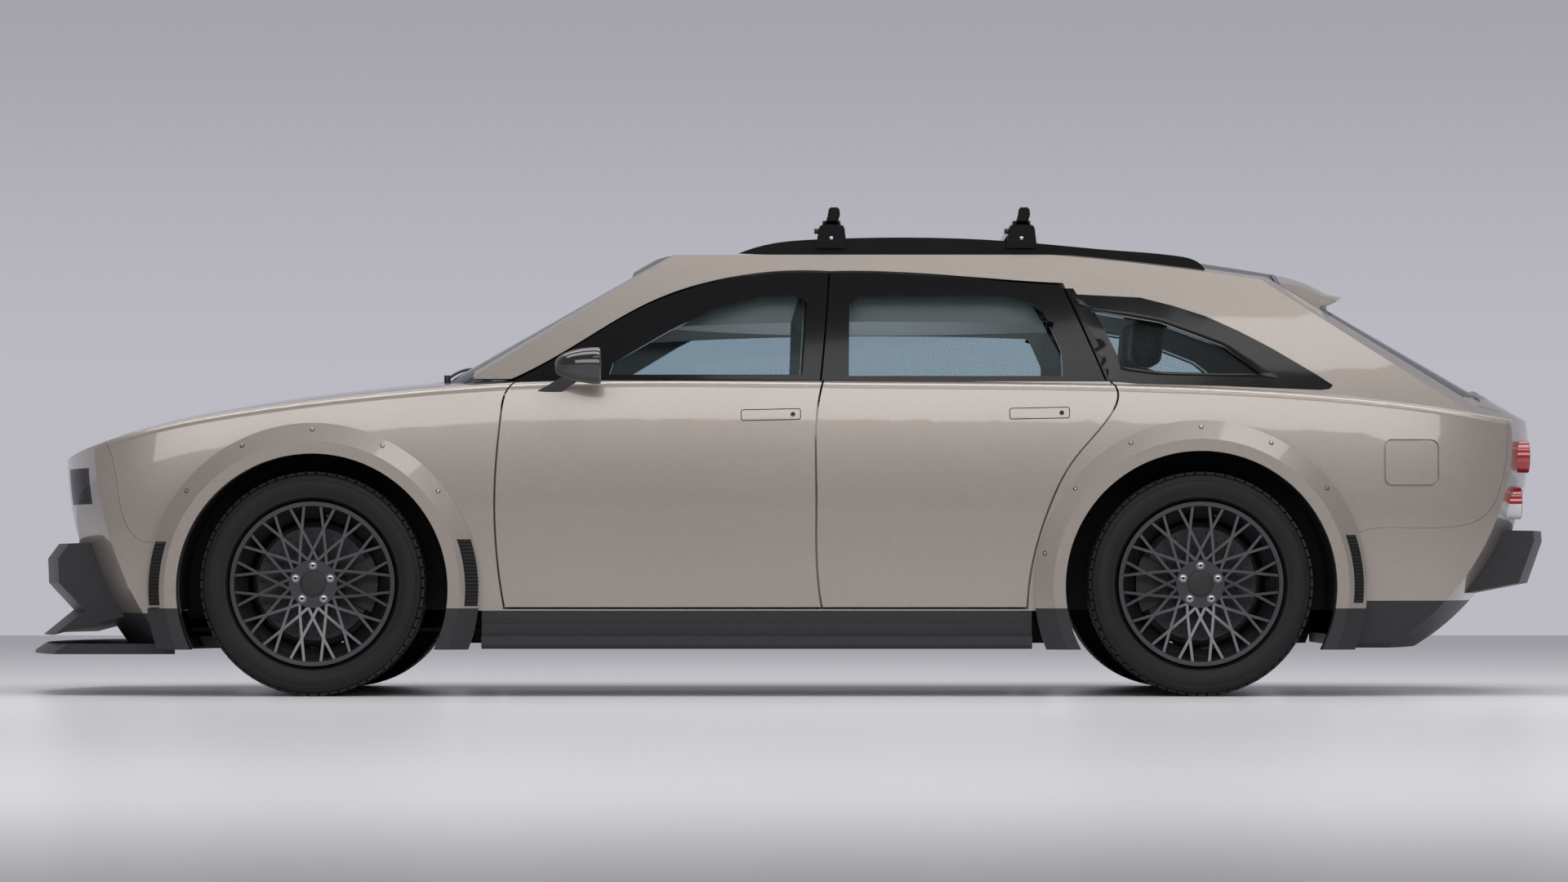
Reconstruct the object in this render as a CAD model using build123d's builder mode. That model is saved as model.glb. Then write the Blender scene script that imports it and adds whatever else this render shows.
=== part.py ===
"""Five-door station wagon with bolted-on wheel arch flares, a deep front and rear bumper bar,
a gloss black roof with rails and a roof rack. Millimetres; the nose points along -X, the left
side lies at -Y, the ground is Z = 0 and the origin is midway between the ends on the ground."""

import math
import os

from build123d import *

# Overall sizes
front_overhang = 1023
wheelbase = 2946
rear_overhang = 1231
half_width = 952
body_height = 1565
car_length = front_overhang + wheelbase + rear_overhang
front_axle_x = front_overhang - car_length / 2
rear_axle_x = front_axle_x + wheelbase

# Wheels and tyres
tyre_radius = 373
tyre_width = 265
tread_round = 32
wheel_y = 840
rim_radius = 273
rim_width = 246
rim_wall = 12
bead_radius = 254
spoke_count = 16
spoke_width = 9
spoke_depth = 34
spoke_node_radius = 112
spoke_cross_radius = 184
spoke_spread = 5.2
hub_radius = 80
hub_bore = 31
disc_radius = 188
disc_thickness = 32
disc_hat_radius = 84

# Uprights, brakes and axle frames
disc_offset = -6
knuckle_depth = 70
pivot_reach = 120
arm_width = 70
eye_radius = 26
eye_height = 30
pin_radius = 12
pad_gap = 5
pad_low_radius = 118
caliper_wall = 18
caliper_radius = 212
caliper_half_height = 135
tower_height = 230
cradle_half = 190
liner_hole = 175

# Wheel arches
arch_radius = 450
arch_lip = 40
flare_radius = 552
flare_stand_out = 985
flare_inner_y = 905
front_arch_z = 355
rear_arch_z = 364
liner_radius = 455
liner_wall = 8
liner_inner_y = 478
kingpin_y = 768

# Shell thicknesses and gaps
door_wall = 55
side_wall = 60
pillar_wall = 115
panel_wall = 35
sill_round = 30
grille_sink = 15
bonnet_low_z = 770
slam_wall = 40
slam_half_width = 560
slam_depth = 60
door_box_wall = 100
door_box_margin = 45
pillar_lap = 37
shut_gap = 7
lid_gap = 6
seam_gap = 0.8
glass_wall = 5
glass_inset = 12
flap_wall = 8
flap_round = 22
tail_block_depth = 420
gate_glass_top_u = -660
gate_glass_top_y = 520
gate_glass_low_u = -60
gate_glass_low_y = 610
fit_gap = 0.3
cut_y = 1000
cut_overrun = 400

# Lower body
hull_bottom_z = 160
hull_tuck = 66
hull_lean = 22
waist_z = 620
shoulder_radius = 90
sill_z = 292
sill_split_z = 284
belt_z = 1050
nose_x = -2490
tail_x = 2556
nose_plan_radius = 2100
tail_plan_radius = 2600
nose_arc_radius = 1054
tail_arc_radius = 807
nose_arc_z = 800
tail_arc_z = 850

# Greenhouse
greenhouse_base_z = 880
belt_half_width = 905
tumblehome = 0.50
belt_drop = 50
roof_edge_radius = 120
side_bulge = 14
screen_x = -1146
screen_z = 1100
screen_run = 1.766
screen_plan_radius = 2243
screen_top_z = 1480
backlight_x = 2420
backlight_z = 1009
backlight_run = 1.730
backlight_plan_radius = 1500
roof_end_x = 1640

# Doors and lids
door_shear = 0.5
door_reach = 380
seal_lap = 20
seal_width = 12
front_seal_cut = ((-930, -870, 975), (-900, -790, 1000))
rear_seal_cut = ((95, -800, 1060), (128, -715, 1215))
tailgate_bottom_z = 700
tailgate_top_y = 558
tailgate_waist_y = 690
tailgate_foot_y = 560
screen_low_y = 745
screen_high_y = 585
tail_slope = math.atan2(1, backlight_run)

# Skirts, steps and bumpers
nose_low_z = 275
valance_top_z = 317
step_top_z = 240
undertray_wall = 12
skirt_z = 155
step_y = 905
step_ledge = 35
step_ledge_z = 200
step_z = 157
step_round = 12
bar_half_span = 640
splitter_half_span = 800
rear_bar_half_span = 700

# Roof rails, rack, mirrors and lamps
rail_y = 628
rail_wall = 30
rack_z = 1572
rack_half_span = 660
rack_bar_depth = 60
rack_bar_height = 22
rack_foot_length = 84
rack_clamp = 8
rack_grip = 22
mirror_in_y = 975
mirror_out_y = 1150
mirror_round = 24
mirror_taper = 6
mirror_foot_y = 820
mirror_foot_length = 90
mirror_foot_height = 46
lamp_out_y = 780
lamp_in_y = 430
lamp_low_z = 640
lamp_high_z = 760
grille_half_width = 330
grille_low_z = 520
grille_high_z = 760
tail_lamp_radius = 54
tail_lamp_y = 700
tail_lamp_high_z = 799
tail_lamp_low_z = 644
tail_lamp_proud = 26
tail_lamp_depth = 75

# Cabin
floor_z = 286
floor_wall = 30
load_floor_z = 600
load_floor_end_x = 2420
floor_step_x = 720
firewall_x = -1030
firewall_wall = 20
tunnel_half_width = 130
tunnel_z = 420
side_floor_y = 800
front_seat_x = -570
front_seat_y = 390
front_seat_width = 500
front_seat_depth = 480
cushion_z = 560
front_back_height = 600
seat_run = 170
seat_wall = 110
seat_drop = 40
seat_round = 30
headrest_width = 260
headrest_height = 150
bench_x = 580
bench_half = 620
bench_z = 720
bench_back_height = 394
bench_depth = 420
dash_half_width = 745
column_stand = 150
column_length = 260
column_drop = 60
column_rake = 0.40
steer_radius = 180
steer_rim = 15
engine_front_x = -2060
engine_length = 620
engine_half = 260
engine_high_z = 760

# Rows of the lower body: x share, half width share, shoulder height share, crown share
HULL_SHARES = [
    (-1.098, 0.725, 0.447, 0.018),
    (-0.814, 0.868, 0.508, 0.020),
    (-0.609, 0.938, 0.557, 0.022),
    (-0.267, 0.977, 0.604, 0.026),
    (0.060, 0.993, 0.640, 0.029),
    (0.213, 0.998, 0.663, 0.029),
    (0.569, 1.000, 0.668, 0.026),
    (0.926, 0.998, 0.660, 0.026),
    (1.350, 0.983, 0.639, 0.026),
    (1.675, 0.951, 0.610, 0.023),
    (1.854, 0.895, 0.587, 0.020),
    (2.081, 0.772, 0.562, 0.018),
]

# Rows of the greenhouse: x share, half width share at the belt, roof edge height share, crown share
GREENHOUSE_SHARES = [
    (0.026, 0.901, 0.895, 0.038),
    (0.366, 0.987, 0.944, 0.041),
    (0.637, 1.000, 0.963, 0.041),
    (0.875, 0.992, 0.939, 0.040),
    (1.269, 0.959, 0.881, 0.036),
    (2.081, 0.873, 0.760, 0.032),
]

# Side outlines: x share, height share
FRONT_EDGE_SHARES = [
    (0.232, 0.671),
    (0.219, 0.647),
    (0.213, 0.600),
    (0.206, 0.439),
    (0.210, 0.266),
    (0.216, 0.189),
]
B_EDGE_SHARES = [(0.574, 0.671), (0.570, 0.640), (0.566, 0.439), (0.567, 0.266), (0.572, 0.189)]
C_EDGE_SHARES = [
    (0.898, 0.671),
    (0.906, 0.640),
    (0.893, 0.585),
    (0.852, 0.491),
    (0.829, 0.404),
    (0.808, 0.266),
    (0.804, 0.189),
]
FRONT_TOP_SHARES = [(0.232, 0.671), (0.291, 0.736), (0.382, 0.840), (0.475, 0.894), (0.581, 0.905)]
REAR_TOP_SHARES = [(0.581, 0.905), (0.640, 0.905), (0.707, 0.898), (0.847, 0.879)]
FRONT_GLASS_SHARES = [
    (0.333, 0.684),
    (0.552, 0.684),
    (0.557, 0.840),
    (0.545, 0.856),
    (0.503, 0.852),
    (0.457, 0.831),
    (0.401, 0.780),
    (0.337, 0.709),
]
REAR_GLASS_SHARES = [
    (0.604, 0.681),
    (0.605, 0.835),
    (0.616, 0.854),
    (0.781, 0.854),
    (0.811, 0.843),
    (0.826, 0.817),
    (0.845, 0.736),
    (0.846, 0.681),
]
QUARTER_GLASS_SHARES = [
    (0.881, 0.822),
    (0.914, 0.700),
    (0.958, 0.689),
    (1.177, 0.684),
    (1.073, 0.745),
    (0.958, 0.797),
]
NOSE_SHUT_SHARES = [
    (-0.683, 0.540),
    (-0.636, 0.422),
    (-0.609, 0.362),
    (-0.584, 0.339),
    (-0.509, 0.328),
]
TAIL_SHUT_SHARES = [
    (1.840, 0.591),
    (1.833, 0.508),
    (1.814, 0.439),
    (1.774, 0.384),
    (1.708, 0.362),
    (1.423, 0.344),
]

FLAP_SHARES = [(1.500, 0.449), (1.640, 0.541)]

FRONT_BAR_SHARES = [
    (-0.957, 0.293),
    (-0.921, 0.325),
    (-0.834, 0.327),
    (-0.820, 0.312),
    (-0.731, 0.171),
    (-0.970, 0.128),
    (-0.871, 0.181),
    (-0.954, 0.240),
]
SPLITTER_SHARES = [
    (-1.000, 0.088),
    (-0.998, 0.094),
    (-0.960, 0.110),
    (-0.640, 0.110),
    (-0.640, 0.088),
]
REAR_BAR_SHARES = [
    (1.930, 0.353),
    (1.998, 0.352),
    (2.000, 0.330),
    (1.960, 0.240),
    (1.700, 0.200),
    (1.760, 0.300),
]
RAIL_SHARES = [
    (0.479, 0.950),
    (0.520, 0.972),
    (0.568, 0.980),
    (0.755, 0.980),
    (0.829, 0.970),
    (0.904, 0.957),
    (0.978, 0.945),
    (1.020, 0.925),
    (1.035, 0.905),
]
MIRROR_SHARES = [(0.274, 0.654), (0.326, 0.743)]
# Cross bars: x share, height share of the rail under the foot
RACK_SHARES = [(0.585, 0.9822), (0.802, 0.9767)]
DASH_SHARES = [
    (0.192, 0.473),
    (0.192, 0.639),
    (0.230, 0.655),
    (0.318, 0.600),
    (0.310, 0.530),
    (0.280, 0.480),
]

# Plan outlines: x share, half width share
BONNET_SIDE_SHARES = [(-0.735, 0.672), (-0.413, 0.809), (-0.022, 0.856), (0.170, 0.880)]
bonnet_front_share = -0.846
bonnet_rear_share = 0.114
ROOF_SIDE_SHARES = [(0.340, 0.610), (0.535, 0.646), (0.740, 0.646), (0.943, 0.620), (1.220, 0.590)]

os.makedirs("parts", exist_ok=True)


def at_x(share):
    """X of a share: -1 at the front end, 0 and 1 at the axles, 2 at the rear end."""
    if share < 0:
        return front_axle_x + share * front_overhang
    if share > 1:
        return rear_axle_x + (share - 1) * rear_overhang
    return front_axle_x + share * wheelbase


def side_point(x_share, z_share):
    """A point of a side outline."""
    return (at_x(x_share), z_share * body_height)


def write(shape, name):
    """Labels a finished piece and writes its STEP file."""
    shape.label = name
    export_step(shape, f"parts/{name}.step")


def both_sides(left):
    """A left piece and its mirror image, as one node of separate solids."""
    return Compound(children=[left, mirror(left, about=Plane.XZ)])


# The outer body and its inset copies


def hull_section(x_share, width_share, shoulder_share, crown_share, inset):
    """One cross-section of the lower body: flat bottom, bulged sides, rounded shoulders, crowned top."""
    w = width_share * half_width - inset
    top = shoulder_share * body_height - inset
    crown = crown_share * body_height
    low = hull_bottom_z + inset
    with BuildSketch(Plane.YZ.offset(at_x(x_share))) as section:
        with BuildLine():
            Line((w - hull_tuck, low), (hull_tuck - w, low))
            ThreePointArc((hull_tuck - w, low), (-w, waist_z), (hull_lean - w, top))
            ThreePointArc((hull_lean - w, top), (0, top + crown), (w - hull_lean, top))
            ThreePointArc((w - hull_lean, top), (w, waist_z), (w - hull_tuck, low))
        make_face()
        shoulders = section.vertices().filter_by(lambda v: v.Z > waist_z)
        fillet(shoulders, max(shoulder_radius - inset, glass_inset))
        fillet(section.vertices().filter_by(lambda v: v.Z < waist_z), sill_round)
    return section.sketch


def end_barrel(end_x, arc_z, arc_radius, plan_radius, inset):
    """All that lies behind the curved nose, or ahead of the curved tail, as a solid of revolution."""
    inward = 1 if end_x < 0 else -1
    axis_x = end_x + inward * plan_radius
    face_x = end_x + inward * inset
    low_z = hull_bottom_z / 2
    high_z = arc_z + body_height / 2
    deep = arc_radius - math.sqrt(arc_radius**2 - (arc_z - low_z) ** 2)
    half = arc_radius - math.sqrt(arc_radius**2 - ((arc_z - low_z) / 2) ** 2)
    low = (face_x + inward * deep, low_z)
    middle = (face_x + inward * half, (low_z + arc_z) / 2)
    with BuildPart() as barrel:
        with BuildSketch(Plane.XZ):
            with BuildLine():
                Line((axis_x, low_z), low)
                ThreePointArc(low, middle, (face_x, arc_z))
                Polyline(
                    (face_x, arc_z),
                    (face_x + inward * shoulder_radius, high_z),
                    (axis_x, high_z),
                    (axis_x, low_z),
                )
            make_face()
        revolve(axis=Axis((axis_x, 0, 0), (0, 0, 1)))
        with Locations((axis_x + inward * car_length / 2, 0, 0)):
            Box(car_length, 3 * half_width, car_length)
    return barrel.part


def lower_body(inset):
    """The body below the belt: a loft trimmed by the curved nose and tail."""
    with BuildPart() as lower:
        loft([hull_section(*row, inset) for row in HULL_SHARES])
        add(end_barrel(nose_x, nose_arc_z, nose_arc_radius, nose_plan_radius, inset), mode=Mode.INTERSECT)
        add(end_barrel(tail_x, tail_arc_z, tail_arc_radius, tail_plan_radius, inset), mode=Mode.INTERSECT)
    return lower.part


def base_drop(inset):
    """How much lower an inner greenhouse starts, so that it reaches into the lower body."""
    return max(inset, 0) / 4


def greenhouse_section(x_share, width_share, roof_share, crown_share, inset):
    """One cross-section of the greenhouse: leaning sides, rounded roof edges and a crowned roof."""
    w = width_share * belt_half_width
    top = roof_share * body_height
    roof_y = w - tumblehome * (top - belt_z + belt_drop) - inset
    base_y = w + shoulder_radius / 4 - inset + base_drop(inset) * tumblehome
    base_z = greenhouse_base_z - base_drop(inset)
    top = top - inset
    crown = crown_share * body_height
    mid_y = (base_y + roof_y) / 2 + side_bulge
    mid_z = (base_z + top) / 2
    with BuildSketch(Plane.YZ.offset(at_x(x_share))) as section:
        with BuildLine():
            Line((base_y, base_z), (-base_y, base_z))
            ThreePointArc((-base_y, base_z), (-mid_y, mid_z), (-roof_y, top))
            ThreePointArc((-roof_y, top), (0, top + crown), (roof_y, top))
            ThreePointArc((roof_y, top), (mid_y, mid_z), (base_y, base_z))
        make_face()
        roof_edges = section.vertices().filter_by(lambda v: v.Z > belt_z)
        fillet(roof_edges, max(roof_edge_radius - inset, glass_inset))
    return section.sketch


def raked_block(apex_x, apex_z, run, plan_radius, toward, inset):
    """All that lies behind a raked screen with an arc for plan; toward is 1 in front, -1 at the rear."""
    base_z = hull_bottom_z * 3
    span = half_width + shoulder_radius
    length = math.hypot(1, run)
    base_x = apex_x + toward * ((base_z - apex_z) * run + inset * length)
    edge_x = base_x + toward * (plan_radius - math.sqrt(plan_radius**2 - span**2))
    far_x = toward * car_length
    with BuildSketch(Plane.XY.offset(base_z)) as plan:
        with BuildLine():
            ThreePointArc((edge_x, -span), (base_x, 0), (edge_x, span))
            Polyline((edge_x, span), (far_x, span), (far_x, -span), (edge_x, -span))
        make_face()
    with BuildPart() as block:
        extrude(plan.sketch, amount=cut_y * length, dir=(toward * run, 0, 1))
    return block.part


def greenhouse(inset):
    """The glasshouse: a loft trimmed by the raked windscreen and the sloping rear window."""
    with BuildPart() as upper:
        loft([greenhouse_section(*row, inset) for row in GREENHOUSE_SHARES])
        add(raked_block(screen_x, screen_z, screen_run, screen_plan_radius, 1, inset), mode=Mode.INTERSECT)
        add(
            raked_block(backlight_x, backlight_z, backlight_run, backlight_plan_radius, -1, inset),
            mode=Mode.INTERSECT,
        )
        add(end_barrel(tail_x, tail_arc_z, tail_arc_radius, tail_plan_radius, inset), mode=Mode.INTERSECT)
    return upper.part


def body_volume(inset):
    """Lower body and greenhouse together."""
    return lower_body(inset) + greenhouse(inset)


# Cutters: slabs under side, plan and rear outlines


def closed(points):
    """A face in the left side plane with straight edges through these places."""
    with BuildSketch(Plane.XZ.offset(cut_y)) as sketch:
        with BuildLine():
            Polyline(*points, close=True)
        make_face()
    return sketch.sketch


def side_lean_y(z):
    """How far from the middle the side windows lie at a height, near enough to aim the slanting cuts."""
    return belt_half_width - belt_drop + tumblehome * belt_drop - tumblehome * (z - belt_z)


def sheared(points):
    """Moves an outline along the slanting cut, so that it meets the leaning side where it should."""
    return [(x + door_shear * (cut_y - side_lean_y(z)), z) for x, z in points]


def slab(face, depth, shear=0):
    """A left side face pushed in toward the middle, straight or along the slanting cut."""
    with BuildPart() as part:
        extrude(face, amount=depth * math.hypot(1, shear), dir=(-shear, 1, 0))
    return part.part


def inset(face, amount):
    """A side outline drawn in by a margin: what four copies of it, moved apart, have in common."""
    with BuildSketch(Plane.XZ.offset(cut_y)) as sketch:
        add(face.moved(Location((amount, 0, 0))))
        for place in ((-amount, 0, 0), (0, 0, amount), (0, 0, -amount)):
            add(face.moved(Location(place)), mode=Mode.INTERSECT)
    return sketch.sketch


def loop(curves):
    """A side face bounded by curves laid end to end, straight where only two places are given."""
    with BuildSketch(Plane.XZ.offset(cut_y)) as sketch:
        with BuildLine():
            for points in curves:
                if len(points) == 2:
                    Line(*points)
                else:
                    Spline(*points)
        make_face()
    return sketch.sketch


def side_curve(shares, right=0, up=0):
    """Places along a side outline, moved bodily."""
    return [(x + right, z + up) for x, z in (side_point(*share) for share in shares)]


def door_faces(front, top, rear, gap=0, front_gap=0):
    """The lower, the upper (already slanted) and the whole outline of a door, wider all round by a gap."""
    a = side_curve(front, front_gap - gap)
    c = side_curve(rear, gap)
    t = side_curve(top, 0, gap)
    t[0] = (t[0][0] + front_gap - gap, t[0][1])
    t[-1] = (t[-1][0] + gap, t[-1][1])
    foot = [(c[-1][0], c[-1][1] - gap), (a[-1][0], a[-1][1] - gap)]
    base = [foot] if gap == 0 else [[c[-1], foot[0]], foot, [foot[1], a[-1]]]
    lower = loop([a[::-1], [a[0], c[0]], c] + base)
    head = [t] if t[0] == a[0] else [[a[0], t[0]], t]
    over = head + [[t[-1], c[0]]]
    upper = loop([sheared(curve) for curve in over + [[c[0], a[0]]]])
    outline = loop(over + [c] + base + [a[::-1]])
    return lower, upper, outline


def shrunk(block, amount):
    """A side block drawn in by a margin: what four copies of it, moved apart, have in common."""
    result = block.moved(Location((amount, 0, 0)))
    for place in ((-amount, 0, 0), (0, 0, amount), (0, 0, -amount)):
        result &= block.moved(Location(place))
    return result


def door_block(faces):
    """The outline of a door as a solid: straight below the belt, slanting above it."""
    return slab(faces[0], door_reach) + slab(faces[1], door_reach, door_shear)


front_door_faces = door_faces(FRONT_EDGE_SHARES, FRONT_TOP_SHARES, B_EDGE_SHARES)
rear_door_faces = door_faces(B_EDGE_SHARES, REAR_TOP_SHARES, C_EDGE_SHARES, 0, shut_gap)
front_hole_faces = door_faces(FRONT_EDGE_SHARES, FRONT_TOP_SHARES, B_EDGE_SHARES, shut_gap)
rear_hole_faces = door_faces(B_EDGE_SHARES, REAR_TOP_SHARES, C_EDGE_SHARES, shut_gap, shut_gap)


def wheel_barrel(axle_x, z, radius, near_y, far_y):
    """A cylinder across a left wheel arch."""
    with BuildPart(Plane.XZ.offset(near_y)) as barrel:
        with Locations((axle_x, z)):
            Cylinder(radius, near_y - far_y, align=(Align.CENTER, Align.CENTER, Align.MAX))
    return barrel.part


def box(low, high):
    """A box between two corners."""
    size = [b - a for a, b in zip(low, high)]
    with BuildPart() as block:
        with Locations(tuple((a + b) / 2 for a, b in zip(low, high))):
            Box(*size)
    return block.part


# Zones that share the body between its panels


def fender_zone(gap):
    """Left of the front door's front edge and below the windscreen pillar, as a side block."""
    edge = side_curve(FRONT_EDGE_SHARES, gap - shut_gap)
    top = belt_z + shut_gap
    front = nose_x - cut_overrun
    corners = [[edge[-1], (edge[-1][0], 0)], [(edge[-1][0], 0), (front, 0)], [(front, 0), (front, top)]]
    closing = [[(front, top), (edge[0][0], top)], [(edge[0][0], top), edge[0]]]
    return slab(loop([edge] + corners + closing), cut_y)


def nose_zone(gap):
    """Ahead of the front bumper's shut line, across the whole width."""
    edge = side_curve(NOSE_SHUT_SHARES, gap, gap)
    front = nose_x - cut_overrun
    low = edge[-1][1]
    rear = edge[-1][0] + arch_radius
    corners = [[edge[-1], (rear, low)], [(rear, low), (rear, 0)]]
    corners += [[(rear, 0), (front, 0)], [(front, 0), (front, belt_z)]]
    closing = [[(front, belt_z), (edge[0][0], belt_z)], [(edge[0][0], belt_z), edge[0]]]
    return slab(loop([edge] + corners + closing), 2 * cut_y)


def tail_zone(gap):
    """Behind and below the rear bumper's shut line, across the whole width."""
    edge = side_curve(TAIL_SHUT_SHARES, -gap, gap)
    rear = tail_x + cut_overrun
    top = edge[0][1]
    corners = [[edge[-1], (edge[-1][0], 0)], [(edge[-1][0], 0), (rear, 0)]]
    corners += [[(rear, 0), (rear, top)], [(rear, top), edge[0]]]
    return slab(loop([edge] + corners), 2 * cut_y)


def plan_half_curve(shares):
    return [(at_x(x), -y * half_width) for x, y in shares]


def bonnet_zone(gap):
    """Over the bonnet's plan outline, wider by a gap."""
    side = [(x, y - gap) for x, y in plan_half_curve(BONNET_SIDE_SHARES)]
    side[0] = (side[0][0] - gap, side[0][1])
    side[-1] = (side[-1][0] + gap, side[-1][1])
    front = at_x(bonnet_front_share) - gap
    rear = at_x(bonnet_rear_share) + gap
    low_front = side[0]
    low_rear = side[-1]
    far_front = (side[0][0], -side[0][1])
    far_rear = (side[-1][0], -side[-1][1])
    with BuildSketch(Plane.XY.offset(bonnet_low_z)) as sketch:
        with BuildLine():
            Spline(*side)
            ThreePointArc(low_rear, (rear, 0), far_rear)
            Spline(*[(x, -y) for x, y in side])
            ThreePointArc(far_front, (front, 0), low_front)
        make_face()
    with BuildPart() as block:
        extrude(sketch.sketch, amount=body_height)
    return block.part


def roof_zone(gap):
    """Over the roof panel's plan outline, wider by a gap at the sides."""
    side = [(x, y - gap) for x, y in plan_half_curve(ROOF_SIDE_SHARES)]
    side[-1] = (roof_end_x + (gap if gap else 0), side[-1][1])
    with BuildSketch(Plane.XY.offset(belt_z)) as sketch:
        with BuildLine():
            Spline(*side)
            Line(side[-1], (side[-1][0], -side[-1][1]))
            Spline(*[(x, -y) for x, y in side])
            Line((side[0][0], -side[0][1]), side[0])
        make_face()
    with BuildPart() as block:
        extrude(sketch.sketch, amount=body_height)
    return block.part


def screen_zone(gap):
    """In front of the windscreen's outline as seen from ahead, wider by a gap."""
    low = belt_z - shut_gap - gap
    high = screen_top_z + gap
    low_y = screen_low_y + gap
    high_y = screen_high_y + gap
    with BuildSketch(Plane.YZ.offset(nose_x)) as sketch:
        with BuildLine():
            Polyline((-low_y, low), (low_y, low), (high_y, high), (-high_y, high), close=True)
        make_face()
    with BuildPart() as block:
        extrude(sketch.sketch, amount=at_x(ROOF_SIDE_SHARES[0][0]) + shut_gap * shut_gap - nose_x)
    return block.part


tail_normal = Plane(
    origin=(backlight_x, 0, backlight_z),
    x_dir=(math.cos(tail_slope), 0, -math.sin(tail_slope)),
    z_dir=(math.sin(tail_slope), 0, math.cos(tail_slope)),
)


def along_tail(x, z):
    """How far down the rear slope a place lies, from the slope's foot."""
    return (x - backlight_x) * math.cos(tail_slope) - (z - backlight_z) * math.sin(tail_slope)


def tail_block(points, depth):
    """A block square to the rear slope, under an outline of half widths down the slope."""
    left = [(u, -y) for u, y in points]
    right = [(u, y) for u, y in points[::-1]]
    with BuildSketch(tail_normal.offset(cut_overrun)) as sketch:
        with BuildLine():
            Polyline(*left, *right, close=True)
        make_face()
    with BuildPart() as block:
        extrude(sketch.sketch, amount=-depth - cut_overrun)
    return block.part


def tailgate_zone(gap):
    """Square to the rear slope over the tailgate, above its bottom edge, wider by a gap."""
    top_u = along_tail(roof_end_x, screen_top_z - roof_edge_radius / 2) - gap
    waist_u = along_tail(backlight_x - roof_edge_radius / 2, backlight_z + panel_wall)
    foot_u = along_tail(tail_x, waist_z)
    points = [
        (top_u, tailgate_top_y + gap),
        (waist_u, tailgate_waist_y + gap),
        (waist_u + shoulder_radius, tailgate_foot_y + gap),
        (foot_u, tailgate_foot_y + gap),
    ]
    below = box((roof_end_x, -half_width, 0), (tail_x + cut_overrun, half_width, tailgate_bottom_z - gap))
    return tail_block(points, tail_block_depth) - below


def loop_of(shares):
    """A side face with straight edges through a table of shares."""
    return closed([side_point(*share) for share in shares])


def flap_block(gap):
    """A side block over the rounded fuel flap, on the left; the flap itself is its mirror image."""
    low = side_point(*FLAP_SHARES[0])
    high = side_point(*FLAP_SHARES[1])
    with BuildSketch(Plane.XZ.offset(cut_y)) as sketch:
        with Locations(((low[0] + high[0]) / 2, (low[1] + high[1]) / 2)):
            RectangleRounded(high[0] - low[0] + 2 * gap, high[1] - low[1] + 2 * gap, flap_round + gap)
    return slab(sketch.sketch, cut_y / 4)


def flap_space(volume_in):
    """The shallow recess that the fuel flap lies in."""
    return flap_block(shut_gap) - volume_in


def front_piece(out_y, in_y, low, high, gap):
    """A left block across the nose between two heights and two distances from the middle."""
    return box(
        (nose_x - cut_overrun, -out_y - gap, low - gap),
        (nose_x + cut_overrun, -in_y + gap, high + gap),
    )


def tail_face_x(y, z):
    """Where the curved tail lies at a distance from the middle and a height."""
    radius = tail_plan_radius - tail_arc_radius + math.sqrt(tail_arc_radius**2 - (tail_arc_z - z) ** 2)
    return tail_x - tail_plan_radius + math.sqrt(radius**2 - y**2)


def tail_lamp(z, gap):
    """A left round tail lamp standing out of the rear corner."""
    outer_x = tail_face_x(tail_lamp_y, z) + tail_lamp_proud
    with BuildPart(Plane.YZ.offset(outer_x - tail_lamp_depth - gap)) as lamp:
        with Locations((-tail_lamp_y, z)):
            Cylinder(
                tail_lamp_radius + gap,
                tail_lamp_depth + 2 * gap,
                align=(Align.CENTER, Align.CENTER, Align.MIN),
            )
    return lamp.part


# Volumes cut once and shared by the panels

outside = body_volume(0)
inside = body_volume(pillar_wall)
wall_inside = body_volume(side_wall)
seal_outside = body_volume(door_wall + fit_gap)
seal_inside = body_volume(side_wall - fit_gap)
clear_outside = body_volume(-fit_gap)
door_inside = body_volume(door_wall)
box_inside = body_volume(door_box_wall)
panel_inside = body_volume(panel_wall)
lower_outside = lower_body(0)
lower_inside = lower_body(panel_wall)
lower_clear = lower_body(panel_wall + fit_gap)
seal_skin = seal_outside - seal_inside
glass_skin = greenhouse(glass_inset) - greenhouse(glass_inset + glass_wall)
left_half = box((-car_length, -2 * cut_y, -cut_overrun), (car_length, 0, 2 * body_height))
front_well = wheel_barrel(front_axle_x, front_arch_z, arch_radius, cut_y, liner_inner_y)
rear_well = wheel_barrel(rear_axle_x, rear_arch_z, liner_radius + liner_wall + fit_gap, cut_y, liner_inner_y)

flap_recess = flap_space(lower_body(flap_wall + fit_gap))

front_door_block = door_block(front_door_faces)
rear_door_block = door_block(rear_door_faces)

# Side frames: sills, pillars, roof edges and rear quarters, one solid a side

frame = (outside - inside) & left_half
frame -= box((-car_length, -cut_y, 0), (firewall_x - firewall_wall, cut_y, 2 * body_height))
frame -= box((-car_length, -cut_y, 0), (car_length, 0, sill_split_z))
frame -= fender_zone(fit_gap) - wall_inside
front_hole = door_block(front_hole_faces)
frame -= (front_hole + door_block(rear_hole_faces)) - wall_inside
frame -= shrunk(front_door_block, pillar_lap) + shrunk(rear_door_block, pillar_lap)
frame -= roof_zone(0)
frame -= screen_zone(fit_gap)
frame -= box((-car_length, -screen_low_y, 0), (firewall_x + pillar_wall, 0, belt_z + shut_gap))
pillar_foot_y = screen_low_y + panel_wall + shut_gap
frame -= box(
    (-car_length, -pillar_foot_y, belt_z - belt_drop),
    (firewall_x + pillar_wall, 0, belt_z + shut_gap),
)
frame -= tailgate_zone(lid_gap) - wall_inside
frame -= tailgate_zone(-pillar_lap)
frame -= box(
    (roof_end_x - panel_wall, -tailgate_top_y, body_height / 2),
    (roof_end_x + panel_wall, 0, body_height),
)
frame -= tail_zone(seam_gap)
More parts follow.
